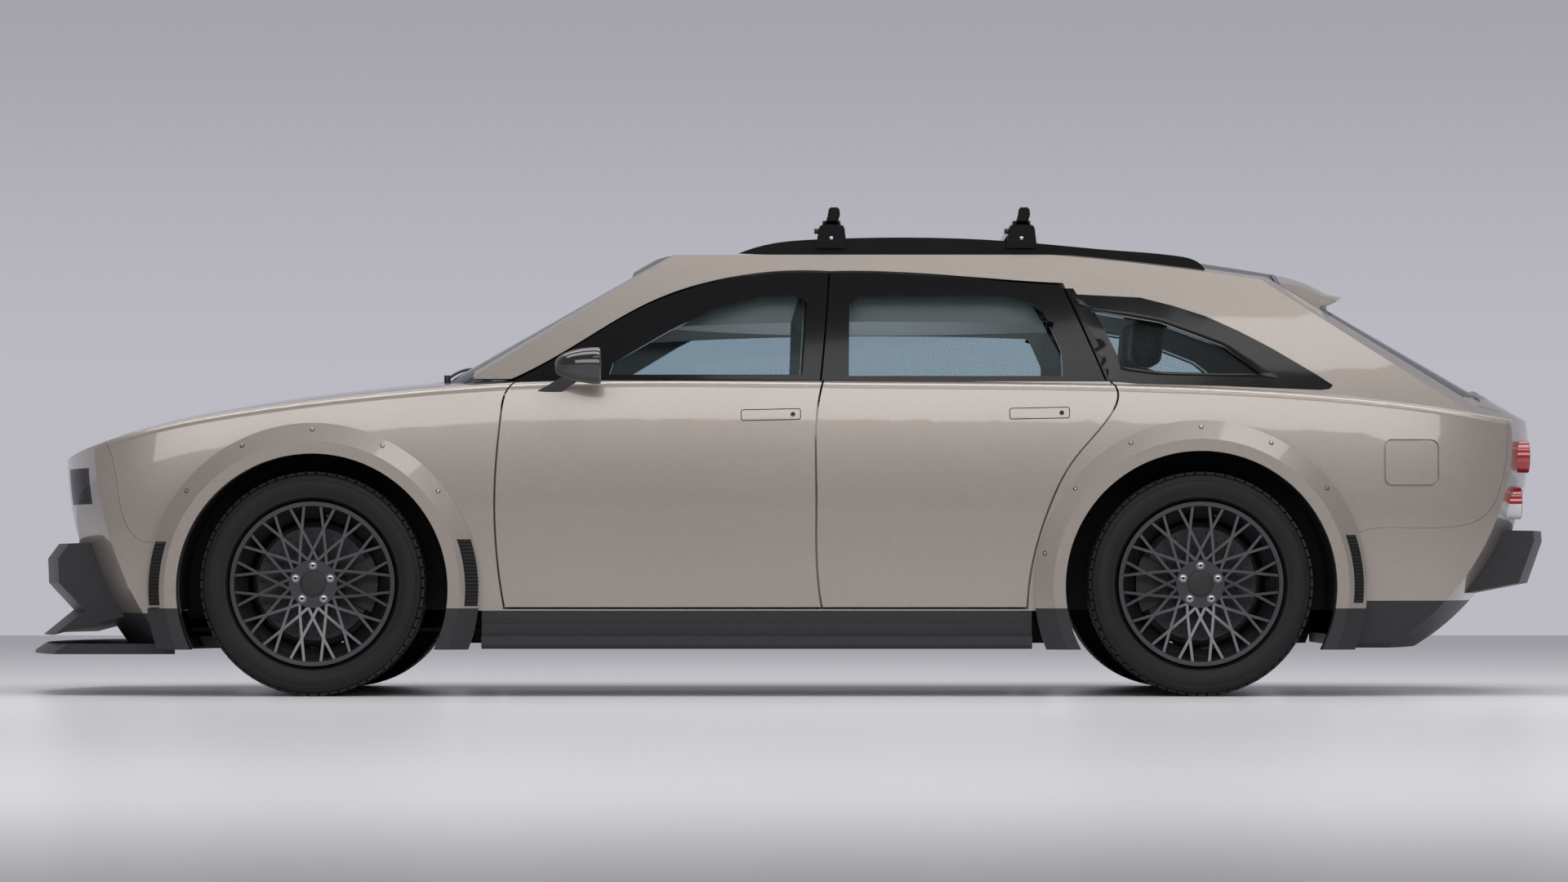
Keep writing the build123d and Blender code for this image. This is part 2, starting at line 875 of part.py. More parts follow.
frame -= box((roof_end_x, -tailgate_foot_y - panel_wall, 0), (car_length, 0, tailgate_bottom_z))
frame -= rear_well
frame -= slab(loop_of(QUARTER_GLASS_SHARES), cut_y / 2)
write(Compound(children=[frame - flap_recess, mirror(frame, about=Plane.XZ)]), "body_sides")

# Front wings, bonnet, nose and rear bumper skins

lower_skin = lower_outside - lower_inside
below_sill = box((-car_length, -cut_y, 0), (car_length, cut_y, sill_split_z))
wing = (lower_skin & left_half & fender_zone(0)) - below_sill
wing -= nose_zone(seam_gap)
wing -= bonnet_zone(lid_gap)
wing -= front_well + front_hole
wing -= box((firewall_x - arch_radius / 2, -screen_low_y - panel_wall, waist_z), (0, 0, body_height))
write(both_sides(wing), "front_wings")

write(lower_skin & bonnet_zone(0), "bonnet")

wells = front_well + mirror(front_well, about=Plane.XZ)
nose_whole = (lower_skin & nose_zone(0)) - wells
below_nose = box((-car_length, -cut_y, 0), (0, cut_y, nose_low_z))
nose = nose_whole - below_nose - bonnet_zone(lid_gap)
lamp_hole = front_piece(lamp_out_y, lamp_in_y, lamp_low_z, lamp_high_z, fit_gap)
nose -= lamp_hole + mirror(lamp_hole, about=Plane.XZ)
nose -= front_piece(grille_half_width, -grille_half_width, grille_low_z, grille_high_z, fit_gap)
write(nose, "nose_panel")

tail_well = wheel_barrel(rear_axle_x, rear_arch_z, arch_radius, cut_y, liner_inner_y)
tail_whole = (lower_skin & tail_zone(0)) - (tail_well + mirror(tail_well, about=Plane.XZ))
below_tail = box((0, -cut_y, 0), (car_length, cut_y, valance_top_z))
rear_skin = tail_whole - below_tail - tailgate_zone(lid_gap)
for z in (tail_lamp_high_z, tail_lamp_low_z):
    cut = tail_lamp(z, fit_gap)
    rear_skin -= cut + mirror(cut, about=Plane.XZ)
write(rear_skin, "rear_bumper_cover")

# Fuel flap

write((outside - lower_body(flap_wall)) & flap_block(0), "fuel_flap")

# Roof, tailgate and fixed glass

roof = (outside - panel_inside) & roof_zone(-fit_gap)
roof -= screen_zone(fit_gap)
write(roof, "roof_panel")

gate = (outside - door_inside) & tailgate_zone(0)
gate -= roof_zone(lid_gap)
gate_window = [(gate_glass_top_u, gate_glass_top_y), (gate_glass_low_u, gate_glass_low_y)]
gate -= tail_block(gate_window, tail_block_depth / 2)
write(gate, "tailgate")

pane_outline = [
    (gate_glass_top_u + fit_gap, gate_glass_top_y - fit_gap),
    (gate_glass_low_u - fit_gap, gate_glass_low_y - fit_gap),
]
write(glass_skin & tail_block(pane_outline, tail_block_depth / 2), "tailgate_glass")

write(glass_skin & screen_zone(0), "windscreen")

quarter = glass_skin & left_half & slab(inset(loop_of(QUARTER_GLASS_SHARES), fit_gap), cut_y / 2)
write(both_sides(quarter), "quarter_windows")

# Doors and their panes


def door(faces, block, glass_shares):
    """A left door: outer slab with its window frame, and the thicker box below the belt."""
    window = slab(loop_of(glass_shares), door_reach)
    panel = (outside - door_inside) & block & left_half
    deep = (outside - box_inside) & slab(inset(faces[0], door_box_margin), door_reach)
    panel = panel + deep - window
    pane = glass_skin & slab(inset(loop_of(glass_shares), fit_gap), door_reach)
    return panel, pane


front_panel, front_pane = door(front_door_faces, front_door_block, FRONT_GLASS_SHARES)
rear_panel, rear_pane = door(rear_door_faces, rear_door_block, REAR_GLASS_SHARES)
for panel, pane, name in ((front_panel, front_pane, "front_door"), (rear_panel, rear_pane, "rear_door")):
    write(panel, f"{name}_left")
    write(mirror(panel, about=Plane.XZ), f"{name}_right")
    write(pane, f"{name}_glass_left")
    write(mirror(pane, about=Plane.XZ), f"{name}_glass_right")

# Cowl, bulkhead and floor

cowl = (lower_outside - lower_body(side_wall)) - bonnet_zone(lid_gap)
cowl &= box(
    (at_x(bonnet_rear_share), -screen_low_y - panel_wall + fit_gap, belt_z - pillar_wall),
    (firewall_x, screen_low_y + panel_wall - fit_gap, body_height),
)
slot = greenhouse(glass_inset - fit_gap) - greenhouse(glass_inset + glass_wall + fit_gap)
cowl -= slot & box((-car_length, -cut_y, belt_z - shut_gap - fit_gap), (0, cut_y, body_height))
pillar_front = box(
    (firewall_x - firewall_wall - fit_gap, -half_width, 0),
    (0, fit_gap - screen_low_y, body_height),
)
cowl -= pillar_front + mirror(pillar_front, about=Plane.XZ)
write(cowl, "cowl")

back = firewall_x
front = firewall_x - firewall_wall
bulkhead = box((front, fit_gap - screen_low_y, waist_z), (back, screen_low_y - fit_gap, body_height))
bulkhead &= lower_body(side_wall + fit_gap)
cabin_space = lower_body(pillar_wall + fit_gap)
bulkhead += box((front, -half_width, floor_z), (back, half_width, body_height)) & cabin_space
write(bulkhead, "bulkhead")

with BuildPart() as floor:
    add(box((back, -half_width, floor_z), (floor_step_x + floor_wall, half_width, floor_z + floor_wall)))
    add(box((floor_step_x, -half_width, floor_z), (floor_step_x + floor_wall, half_width, load_floor_z)))
    add(
        box(
            (floor_step_x, -half_width, load_floor_z - floor_wall),
            (load_floor_end_x, half_width, load_floor_z),
        )
    )
    add(box((back, -tunnel_half_width, floor_z), (floor_step_x + floor_wall, tunnel_half_width, tunnel_z)))
    add(
        box(
            (back - cut_overrun, floor_wall - tunnel_half_width, 0),
            (floor_step_x, tunnel_half_width - floor_wall, tunnel_z - floor_wall),
        ),
        mode=Mode.SUBTRACT,
    )
pan = floor.part & cabin_space
well_radius = liner_radius + liner_wall + fit_gap
well = wheel_barrel(rear_axle_x, rear_arch_z, well_radius, cut_y, liner_inner_y - fit_gap)
pan -= well + mirror(well, about=Plane.XZ)
write(pan, "floor_pan")

# Wheels: profiles are turned about the axle, distances across run outboard


def turned(profile, centre_y):
    """A ring turned about the left wheel's axle line at the middle of the car."""
    with BuildPart() as ring:
        with BuildSketch(Plane.YZ):
            with BuildLine():
                Polyline(*[(centre_y - out, r) for out, r in profile], close=True)
            make_face()
        revolve(axis=Axis.Y)
    return ring.part


lip = rim_width / 2
bead = lip - rim_wall
half_tread = tyre_width / 2
tyre_profile = [
    (bead - fit_gap, bead_radius + 2 * fit_gap),
    (bead - fit_gap, rim_radius + 2 * fit_gap),
    (half_tread - rim_wall / 2, rim_radius + rim_wall),
    (half_tread, rim_radius + tread_round),
    (half_tread - rim_wall / 2, tyre_radius - tread_round),
    (half_tread - tread_round, tyre_radius - rim_wall / 6),
    (0, tyre_radius),
]
tyre_inner = [
    (0, tyre_radius - 2 * rim_wall),
    (half_tread - tread_round, tyre_radius - 2 * rim_wall),
    (half_tread - rim_wall, rim_radius + tread_round),
    (bead - rim_wall, bead_radius + rim_wall),
    (bead - 2 * rim_wall, bead_radius + 2 * fit_gap),
]
full_profile = tyre_profile + [(-out, r) for out, r in tyre_profile[-2::-1]]
full_profile += [(-out, r) for out, r in tyre_inner[::-1]] + tyre_inner[1:]
tyre = turned(full_profile, -wheel_y)

well_radius = bead_radius - 2 * rim_wall
rim_profile = [
    (lip, rim_radius),
    (bead, rim_radius),
    (bead, bead_radius),
    (bead - 2 * rim_wall, bead_radius),
    (bead - 4 * rim_wall, well_radius),
    (4 * rim_wall - bead, well_radius),
    (2 * rim_wall - bead, bead_radius),
    (-bead, bead_radius),
    (-bead, rim_radius),
    (-lip, rim_radius),
    (-lip, rim_radius - rim_wall),
    (1.5 * rim_wall - bead, bead_radius - rim_wall),
    (4 * rim_wall - bead, well_radius - rim_wall),
    (bead - 4 * rim_wall, well_radius - rim_wall),
    (bead - 1.5 * rim_wall, bead_radius - rim_wall),
    (lip, rim_radius - rim_wall),
]
hub_back = disc_offset + disc_thickness / 2
hub_face = lip - spoke_depth
hub_profile = [
    (-hub_back, 0),
    (-hub_back, disc_radius),
    (disc_thickness - hub_back, disc_radius),
    (disc_thickness - hub_back, disc_hat_radius),
    (hub_face - spoke_depth, disc_hat_radius),
    (hub_face, hub_radius),
    (hub_face, hub_bore),
    (hub_face - rim_wall, hub_bore),
    (hub_face - rim_wall, 0),
]
spoke_profile = [
    (hub_face - spoke_depth, hub_radius / 2),
    (hub_face, hub_radius / 2),
    (hub_face, hub_radius),
    (lip - rim_wall / 2, rim_radius - rim_wall),
    (bead, bead_radius - rim_wall / 2),
    (lip - spoke_depth, bead_radius - rim_wall / 2),
    (hub_face - spoke_depth, disc_hat_radius),
]


def polar(radius, angle):
    """A place on the wheel's side view."""
    return (radius * math.cos(math.radians(angle)), radius * math.sin(math.radians(angle)))


def lattice_bar(start, end, width):
    """A straight bar of the crossed spokes, laid into the sketch being drawn."""
    run = (end[0] - start[0], end[1] - start[1])
    with Locations(((start[0] + end[0]) / 2, (start[1] + end[1]) / 2)):
        Rectangle(math.hypot(*run) + width, width, rotation=math.degrees(math.atan2(run[1], run[0])))


half_step = 180 / spoke_count
with BuildSketch(Plane.XZ) as sector:
    for side in (-1, 1):
        lattice_bar(polar(hub_radius, side * half_step), polar(spoke_node_radius, 0), spoke_width)
        lattice_bar(polar(spoke_node_radius, 0), polar(spoke_cross_radius, side * half_step), spoke_width)
        lattice_bar(
            polar(spoke_cross_radius, half_step),
            polar(rim_radius - rim_wall, half_step + side * spoke_spread),
            spoke_width,
        )
with BuildSketch(Plane.XZ) as lattice:
    with PolarLocations(0, spoke_count):
        add(sector.sketch_local)
with BuildPart() as rim_build:
    extrude(lattice.sketch, amount=cut_y)
    add(turned(spoke_profile, -wheel_y), mode=Mode.INTERSECT)
    add(turned(rim_profile, -wheel_y))
    add(turned(hub_profile, -wheel_y))
rim = rim_build.part


def at_axle(shape, axle_x):
    return shape.moved(Location((axle_x, 0, tyre_radius)))


for axle_x, place in ((front_axle_x, "front"), (rear_axle_x, "rear")):
    for piece, name in ((tyre, "tyre"), (rim, "rim")):
        left = at_axle(piece, axle_x)
        write(left, f"{name}_{place}_left")
        write(mirror(left, about=Plane.XZ), f"{name}_{place}_right")

# Uprights with their brake calipers, and the frames that carry them

knuckle_face = -hub_back - fit_gap
knuckle_back = knuckle_face - knuckle_depth
pivot_out = kingpin_y - wheel_y


def upright(front):
    """A left upright about the axle line: hub carrier, arms to the pivots and the brake caliper."""
    with BuildPart() as carrier:
        add(
            turned(
                [
                    (knuckle_face, 0),
                    (knuckle_face, hub_radius),
                    (knuckle_back, hub_radius),
                    (knuckle_back, 0),
                ],
                -wheel_y,
            )
        )
        with Locations((0, -wheel_y - pivot_out, 0)):
            Box(arm_width, 2 * eye_radius, 2 * pivot_reach)
            Cylinder(pin_radius, 2 * (pivot_reach + eye_height))
    caliper = turned(
        [
            (disc_thickness - hub_back + pad_gap, pad_low_radius),
            (disc_thickness - hub_back + pad_gap, disc_radius + pad_gap),
            (-hub_back - pad_gap, disc_radius + pad_gap),
            (-hub_back - pad_gap, hub_radius / 2),
            (-hub_back - pad_gap - caliper_wall, hub_radius / 2),
            (-hub_back - pad_gap - caliper_wall, caliper_radius),
            (disc_thickness - hub_back + pad_gap + caliper_wall, caliper_radius),
            (disc_thickness - hub_back + pad_gap + caliper_wall, pad_low_radius),
        ],
        -wheel_y,
    )
    side = 1 if front else -1
    with BuildSketch(Plane.XZ) as sector:
        with BuildLine():
            Polyline(
                (0, 0),
                (side * rim_radius, -caliper_half_height),
                (side * rim_radius, caliper_half_height),
                close=True,
            )
        make_face()
    wedge = extrude(sector.sketch, amount=cut_y, both=True)
    return carrier.part + (caliper & wedge)


front_upright = at_axle(upright(True), front_axle_x)
write(front_upright, "knuckle_left")
write(mirror(front_upright, about=Plane.XZ), "knuckle_right")


beam_half_width = liner_inner_y - fit_gap - eye_height / 2


def carrier_frame(beam_half, tower_top):
    """A cross member with towers, and arms out to the left and right pivots, about the axle line."""
    eye_y = wheel_y + pivot_out
    with BuildPart() as beams:
        with Locations((0, 0, -pivot_reach - eye_height / 2)):
            Box(arm_width, 2 * eye_y, eye_height - 2 * fit_gap)
        for side in (-1, 1):
            with Locations((0, side * (eye_y + beam_half_width) / 2, pivot_reach + eye_height / 2)):
                Box(arm_width, eye_y - beam_half_width, eye_height - 2 * fit_gap)
        with Locations((0, 0, -pivot_reach - eye_height / 2)):
            Box(2 * beam_half, 2 * beam_half_width, eye_height)
        foot = -pivot_reach - eye_height
        with Locations((0, -beam_half_width, foot), (0, beam_half_width, foot)):
            Box(arm_width, eye_height, tower_top - foot, align=(Align.CENTER, Align.CENTER, Align.MIN))
        with Locations((0, -eye_y, 0), (0, eye_y, 0)):
            Cylinder(eye_radius, 2 * (pivot_reach + eye_height))
            Cylinder(pin_radius + fit_gap / 3, 4 * pivot_reach, mode=Mode.SUBTRACT)
            Box(3 * eye_radius, 3 * eye_radius, 2 * (pivot_reach + fit_gap), mode=Mode.SUBTRACT)
    return beams.part


write(at_axle(carrier_frame(cradle_half, tower_height), front_axle_x), "front_subframe")
rear_uprights = at_axle(upright(False), rear_axle_x)
under_load_floor = load_floor_z - floor_wall - fit_gap - tyre_radius
rear_frame = at_axle(carrier_frame(cradle_half, under_load_floor), rear_axle_x)
write(Compound(children=[rear_frame, rear_uprights, mirror(rear_uprights, about=Plane.XZ)]), "rear_axle")

# Wheel arches: liners, flares and the skirts at their feet


def liner(axle_x, z, inner):
    """A left wheel liner: an arch shell with an inner wall, open below."""
    outer = wheel_barrel(axle_x, z, liner_radius + liner_wall, cut_y, liner_inner_y)
    outer -= wheel_barrel(axle_x, z, liner_radius, cut_y, liner_inner_y + liner_wall)
    outer -= box((axle_x - flare_radius, -cut_y, 0), (axle_x + flare_radius, 0, sill_split_z))
    outer -= wheel_barrel(axle_x, tyre_radius, liner_hole, cut_y, liner_inner_y - liner_wall)
    outer -= box((axle_x - liner_hole, -cut_y / 2, 0), (axle_x + liner_hole, 0, tyre_radius))
    return outer & inner


liners = [liner(front_axle_x, front_arch_z, lower_clear), liner(rear_axle_x, rear_arch_z, lower_clear)]
write(Compound(children=liners + [mirror(piece, about=Plane.XZ) for piece in liners]), "wheel_liners")


def flare(axle_x, z, low_z, high_z):
    """A left arch flare: a flat lip and a sloping skirt that stands out of the body side."""
    lip_r = arch_radius + arch_lip
    with BuildPart() as ring:
        with BuildSketch(Plane.YZ):
            with BuildLine():
                Polyline(
                    (-flare_inner_y, arch_radius),
                    (-flare_stand_out, arch_radius),
                    (-flare_stand_out, lip_r),
                    (-half_width, flare_radius),
                    (-flare_inner_y, flare_radius),
                    close=True,
                )
            make_face()
        revolve(axis=Axis.Y)
    ring = ring.part.moved(Location((axle_x, 0, z)))
    ring &= box((axle_x - 2 * flare_radius, -2 * cut_y, low_z), (axle_x + 2 * flare_radius, 0, high_z))
    return ring


flares = []
skirts = []
for axle_x, z in ((front_axle_x, front_arch_z), (rear_axle_x, rear_arch_z)):
    whole = flare(axle_x, z, skirt_z, body_height)
    over_sill = box((-car_length, -2 * cut_y, sill_z), (car_length, 0, body_height))
    flares.append((whole - clear_outside) & over_sill)
    foot = flare(axle_x, z, skirt_z, sill_z - fit_gap) - clear_outside
    skirts += foot.solids()
write(Compound(children=flares + [mirror(piece, about=Plane.XZ) for piece in flares]), "arch_flares")
write(Compound(children=skirts + [mirror(piece, about=Plane.XZ) for piece in skirts]), "arch_skirts")

# Sill skirts and the steps below them

sill_front_x = front_axle_x + flare_radius + shut_gap
sill_rear_x = rear_axle_x - flare_radius - shut_gap
under_doors = box((sill_front_x, -cut_y, step_top_z), (sill_rear_x, -side_floor_y, sill_split_z))
skirt = (lower_skin & left_half) & under_doors
write(both_sides(skirt), "side_skirts")
with BuildPart() as step_build:
    with BuildSketch(Plane.YZ.offset(sill_front_x)):
        with BuildLine():
            Polyline(
                (-side_floor_y, step_top_z),
                (-step_y, step_top_z),
                (-step_y, step_ledge_z),
                (-step_y - step_ledge, step_ledge_z),
                (-step_y - step_ledge, step_z + step_round),
                (-step_y - step_ledge + step_round, step_z),
                (-side_floor_y, step_z),
                close=True,
            )
        make_face()
    extrude(amount=sill_rear_x - sill_front_x)
write(both_sides(step_build.part), "side_steps")

# Front bumper bar with its splitter, and the rear bar with its valance: side profiles turned about
# the vertical axes that the nose and the tail curve round


def moved_down(shape):
    """The same block with a seam's width taken off its top."""
    return shape.moved(Location((0, 0, -seam_gap)))


def curved_bar(profile, end_x, plan_radius, half_span):
    """A side profile swept round the curve of the nose or the tail, as wide as its span."""
    inward = 1 if end_x < 0 else -1
    axis_x = end_x + inward * plan_radius
    with BuildPart() as bar:
        with BuildSketch(Plane.XZ):
            with BuildLine():
                Polyline(*profile, close=True)
            make_face()
        revolve(axis=Axis((axis_x, 0, 0), (0, 0, 1)))
    reach = (axis_x, end_x - inward * cut_overrun)
    return bar.part & box((min(reach), -half_span, 0), (max(reach), half_span, body_height))


bar = curved_bar([side_point(*share) for share in FRONT_BAR_SHARES], nose_x, nose_plan_radius, bar_half_span)
write(bar - clear_outside, "front_bumper")
blade_points = [side_point(*share) for share in SPLITTER_SHARES]
blade = curved_bar(blade_points, nose_x, nose_plan_radius, splitter_half_span)
write((nose_whole & moved_down(below_nose)) + blade, "front_splitter")
rear_bar_points = [side_point(*share) for share in REAR_BAR_SHARES]
rear_bar = curved_bar(rear_bar_points, tail_x, tail_plan_radius, rear_bar_half_span)
write(rear_bar - clear_outside, "rear_bumper")
write(tail_whole & moved_down(below_tail), "rear_valance")

# Roof rails and rack

with BuildSketch(Plane.XZ.offset(rail_y)) as rail_sketch:
    with BuildLine():
        rail_top = [side_point(*share) for share in RAIL_SHARES]
        Spline(*rail_top)
        Line(rail_top[-1], rail_top[0])
    make_face()
rail = extrude(rail_sketch.sketch, amount=-rail_wall) - clear_outside
rail = max(rail.solids(), key=lambda piece: piece.volume)
write(both_sides(rail), "roof_rails")

rack = []
for x_share, rail_share in RACK_SHARES:
    x = at_x(x_share)
    seat_z = rail_share * body_height + fit_gap
    with BuildPart() as cross:
        with Locations((x, 0, rack_z + rack_bar_height / 2)):
            Box(rack_bar_depth, 2 * rack_half_span, rack_bar_height)
        for side in (-1, 1):
            rail_middle = side * (rail_y - rail_wall / 2)
            with Locations((x, rail_middle, seat_z - rack_grip)):
                foot_height = rack_z - seat_z + rack_grip
                Box(
                    rack_foot_length,
                    rail_wall + 2 * fit_gap + 2 * rack_clamp,
                    foot_height,
                    align=(Align.CENTER, Align.CENTER, Align.MIN),
                )
                Box(
                    2 * rack_foot_length,
                    rail_wall + 2 * fit_gap,
                    rack_grip,
                    align=(Align.CENTER, Align.CENTER, Align.MIN),
                    mode=Mode.SUBTRACT,
                )
    rack.append(cross.part)
write(Compound(children=rack), "roof_rack")

# Mirrors on the front doors

mirror_low = side_point(*MIRROR_SHARES[0])
mirror_high = side_point(*MIRROR_SHARES[1])
with BuildPart() as mirror_build:
    with BuildSketch(Plane.XZ.offset(mirror_in_y)):
        with Locations(((mirror_low[0] + mirror_high[0]) / 2, (mirror_low[1] + mirror_high[1]) / 2)):
            RectangleRounded(mirror_high[0] - mirror_low[0], mirror_high[1] - mirror_low[1], mirror_round)
    extrude(amount=mirror_out_y - mirror_in_y, taper=mirror_taper)
    with BuildSketch(Plane.XZ.offset(mirror_foot_y)):
        with Locations(((mirror_low[0] + mirror_high[0]) / 2, mirror_low[1] + mirror_foot_height / 2)):
            Rectangle(mirror_foot_length, mirror_foot_height)
    extrude(amount=mirror_in_y - mirror_foot_y + mirror_round)
mirror_left = mirror_build.part - clear_outside
write(mirror_left, "mirror_left")
write(mirror(mirror_left, about=Plane.XZ), "mirror_right")

# Lamps and grille


lamps = lower_skin & front_piece(lamp_out_y, lamp_in_y, lamp_low_z, lamp_high_z, 0)
write(both_sides(lamps), "headlamps")
grille_skin = lower_body(grille_sink) - lower_inside
grille = grille_skin & front_piece(grille_half_width, -grille_half_width, grille_low_z, grille_high_z, 0)
write(grille, "grille")


lamps = [tail_lamp(z, 0) for z in (tail_lamp_high_z, tail_lamp_low_z)]
write(Compound(children=lamps + [mirror(piece, about=Plane.XZ) for piece in lamps]), "tail_lamps")

# Cabin: seats, dashboard and steering wheel; then the engine


def seat(x, y, width, cushion_z, base_z, back_height, back_run, depth):
    """A seat as one simple closed form: cushion, leaning back and headrest, on its base."""
    with BuildPart() as part:
        with BuildSketch(Plane.XZ.offset(-y + width / 2)):
            with BuildLine():
                Polyline(
                    (x, base_z),
                    (x, cushion_z),
                    (x + depth, cushion_z - seat_drop),
                    (x + depth + back_run, cushion_z + back_height),
                    (x + depth + back_run + seat_wall, cushion_z + back_height),
                    (x + depth + seat_wall, base_z),
                    close=True,
                )
            make_face()
        extrude(amount=-width)
        fillet(part.edges().filter_by(Axis.Y), seat_round)
        head_x = x + depth + back_run + seat_wall / 2
        with Locations((head_x, y, cushion_z + back_height + headrest_height / 2)):
            Box(seat_wall, headrest_width, headrest_height + 2 * seat_round)
    return part.part


seats = [
    seat(
        front_seat_x,
        y,
        front_seat_width,
        cushion_z,
        floor_z + floor_wall,
        front_back_height,
        seat_run,
        front_seat_depth,
    )
    for y in (-front_seat_y, front_seat_y)
]
write(Compound(children=seats), "front_seats")
bench = seat(
    bench_x,
    -bench_half / 2,
    bench_half - fit_gap,
    bench_z,
    load_floor_z,
    bench_back_height,
    seat_run,
    bench_depth,
)
bench_well_radius = liner_radius + 2 * liner_wall
bench -= wheel_barrel(rear_axle_x, rear_arch_z, bench_well_radius, cut_y, liner_inner_y - liner_wall)
write(both_sides(bench), "rear_bench")

with BuildPart() as dash_build:
    with BuildSketch(Plane.XZ.offset(dash_half_width)):
        with BuildLine():
            front_x = firewall_x + fit_gap
            dash_points = [side_point(*share) for share in DASH_SHARES]
            Polyline(
                (front_x, dash_points[0][1]),
                (front_x, dash_points[1][1]),
                *dash_points[2:],
                close=True,
            )
        make_face()
    extrude(amount=-2 * dash_half_width)
dash = dash_build.part & lower_body(pillar_wall + panel_wall)
write(dash, "dashboard")

dash_lip_x, dash_lip_z = side_point(*DASH_SHARES[3])
wheel_plane = Plane(
    origin=(dash_lip_x + column_stand, -front_seat_y, dash_lip_z - column_drop),
    x_dir=(0, 1, 0),
    z_dir=(math.cos(column_rake), 0, math.sin(column_rake)),
)
with BuildPart(wheel_plane) as steering_build:
    with BuildSketch(Plane(wheel_plane.origin, x_dir=wheel_plane.x_dir, z_dir=wheel_plane.y_dir)):
        with Locations((steer_radius, 0)):
            Circle(steer_rim)
    revolve(axis=Axis(wheel_plane.origin, wheel_plane.z_dir))
steering = steering_build.part
with BuildPart(wheel_plane) as spokes_build:
    Box(2 * steer_radius, steer_rim * 2, steer_rim)
    Cylinder(steer_radius / 3, 2 * steer_rim)
    Cylinder(steer_rim * 1.5, column_length, align=(Align.CENTER, Align.CENTER, Align.MAX))
steering = (steering + spokes_build.part) - dash
write(max(steering.solids(), key=lambda piece: piece.volume), "steering_wheel")

engine_low_z = tyre_radius - pivot_reach + fit_gap
write(
    box(
        (engine_front_x, -engine_half, engine_low_z),
        (engine_front_x + engine_length, engine_half, engine_high_z),
    ),
    "engine_block",
)

# The panel across the nose that the bonnet's front edge rests on
slam_x = at_x(bonnet_front_share) + slam_depth
slam_upright = box(
    (slam_x, -slam_half_width, grille_high_z),
    (slam_x + slam_wall, slam_half_width, body_height),
)
slam_shelf = box(
    (nose_x, -slam_half_width, grille_high_z + fit_gap),
    (slam_x, slam_half_width, grille_high_z + slam_wall),
)
write((slam_upright & lower_clear) + (slam_shelf & lower_clear), "slam_panel")

# Door seals on the side frames, open where the doors' front edges swing in, and the undertray


def seal_ring(block):
    """A thin rubber ring round a door's inner edge."""
    return seal_skin & (shrunk(block, seal_lap) - shrunk(block, seal_lap + seal_width))


seals = []
for block, cut in ((front_door_block, front_seal_cut), (rear_door_block, rear_seal_cut)):
    for ring in seal_ring(block).solids():
        seals += (ring - box(*cut)).solids()
gate_ring = tailgate_zone(-seal_lap) - tailgate_zone(-seal_lap - seal_width)
gate_seal = seal_skin & left_half & gate_ring
seals.append(max(gate_seal.solids(), key=lambda piece: piece.volume))
write(Compound(children=seals + [mirror(piece, about=Plane.XZ) for piece in seals]), "door_seals")

tray_top = tyre_radius - pivot_reach - eye_height - fit_gap
write(
    box(
        (front_axle_x - arch_radius, -liner_inner_y + liner_wall, tray_top - undertray_wall),
        (firewall_x, liner_inner_y - liner_wall, tray_top),
    ),
    "undertray",
)
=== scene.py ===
import math

import bmesh
import bpy
from mathutils import Matrix, Vector
from mathutils.bvhtree import BVHTree


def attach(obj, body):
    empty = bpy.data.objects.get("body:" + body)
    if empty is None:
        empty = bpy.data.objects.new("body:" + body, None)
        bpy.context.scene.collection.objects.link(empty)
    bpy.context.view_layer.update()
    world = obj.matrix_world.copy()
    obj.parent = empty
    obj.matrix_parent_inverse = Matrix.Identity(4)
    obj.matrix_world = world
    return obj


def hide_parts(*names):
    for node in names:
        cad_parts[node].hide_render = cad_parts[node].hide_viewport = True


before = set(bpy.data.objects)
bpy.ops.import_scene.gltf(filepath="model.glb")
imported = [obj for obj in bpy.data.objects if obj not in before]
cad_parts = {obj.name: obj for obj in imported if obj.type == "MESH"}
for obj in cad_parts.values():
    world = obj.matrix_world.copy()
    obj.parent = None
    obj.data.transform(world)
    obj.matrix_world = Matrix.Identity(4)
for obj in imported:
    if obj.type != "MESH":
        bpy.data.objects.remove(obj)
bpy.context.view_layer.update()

# Places, in metres
FRONT_AXLE_X = -1.577
REAR_AXLE_X = 1.369
AXLE_Z = 0.373
WHEEL_Y = 0.840
FRONT_ARCH_Z = 0.355
REAR_ARCH_Z = 0.364
LEFT, RIGHT = -1, 1
SIDES = ((LEFT, "left"), (RIGHT, "right"))
BELT_Z = 1.047


# Materials


class Value:
    """A socket of a material, with arithmetic that adds Math nodes."""

    def __init__(self, finish, socket):
        self.finish = finish
        self.socket = socket

    def maths(self, operation, *others):
        return self.finish.node("ShaderNodeMath", {"operation": operation}, dict(enumerate((self, *others))))

    def __add__(self, other):
        return self.maths("ADD", other)

    def __sub__(self, other):
        return self.maths("SUBTRACT", other)

    def __mul__(self, other):
        return self.maths("MULTIPLY", other)

    def __truediv__(self, other):
        return self.maths("DIVIDE", other)

    def __rsub__(self, other):
        return self.finish.node("ShaderNodeMath", {"operation": "SUBTRACT"}, {0: other, 1: self})

    __radd__ = __add__
    __rmul__ = __mul__

    def above(self, edge):
        return self.maths("GREATER_THAN", edge)

    def below(self, edge):
        return self.maths("LESS_THAN", edge)

    def power(self, other):
        return self.maths("POWER", other)

    def size(self):
        return self.maths("ABSOLUTE")


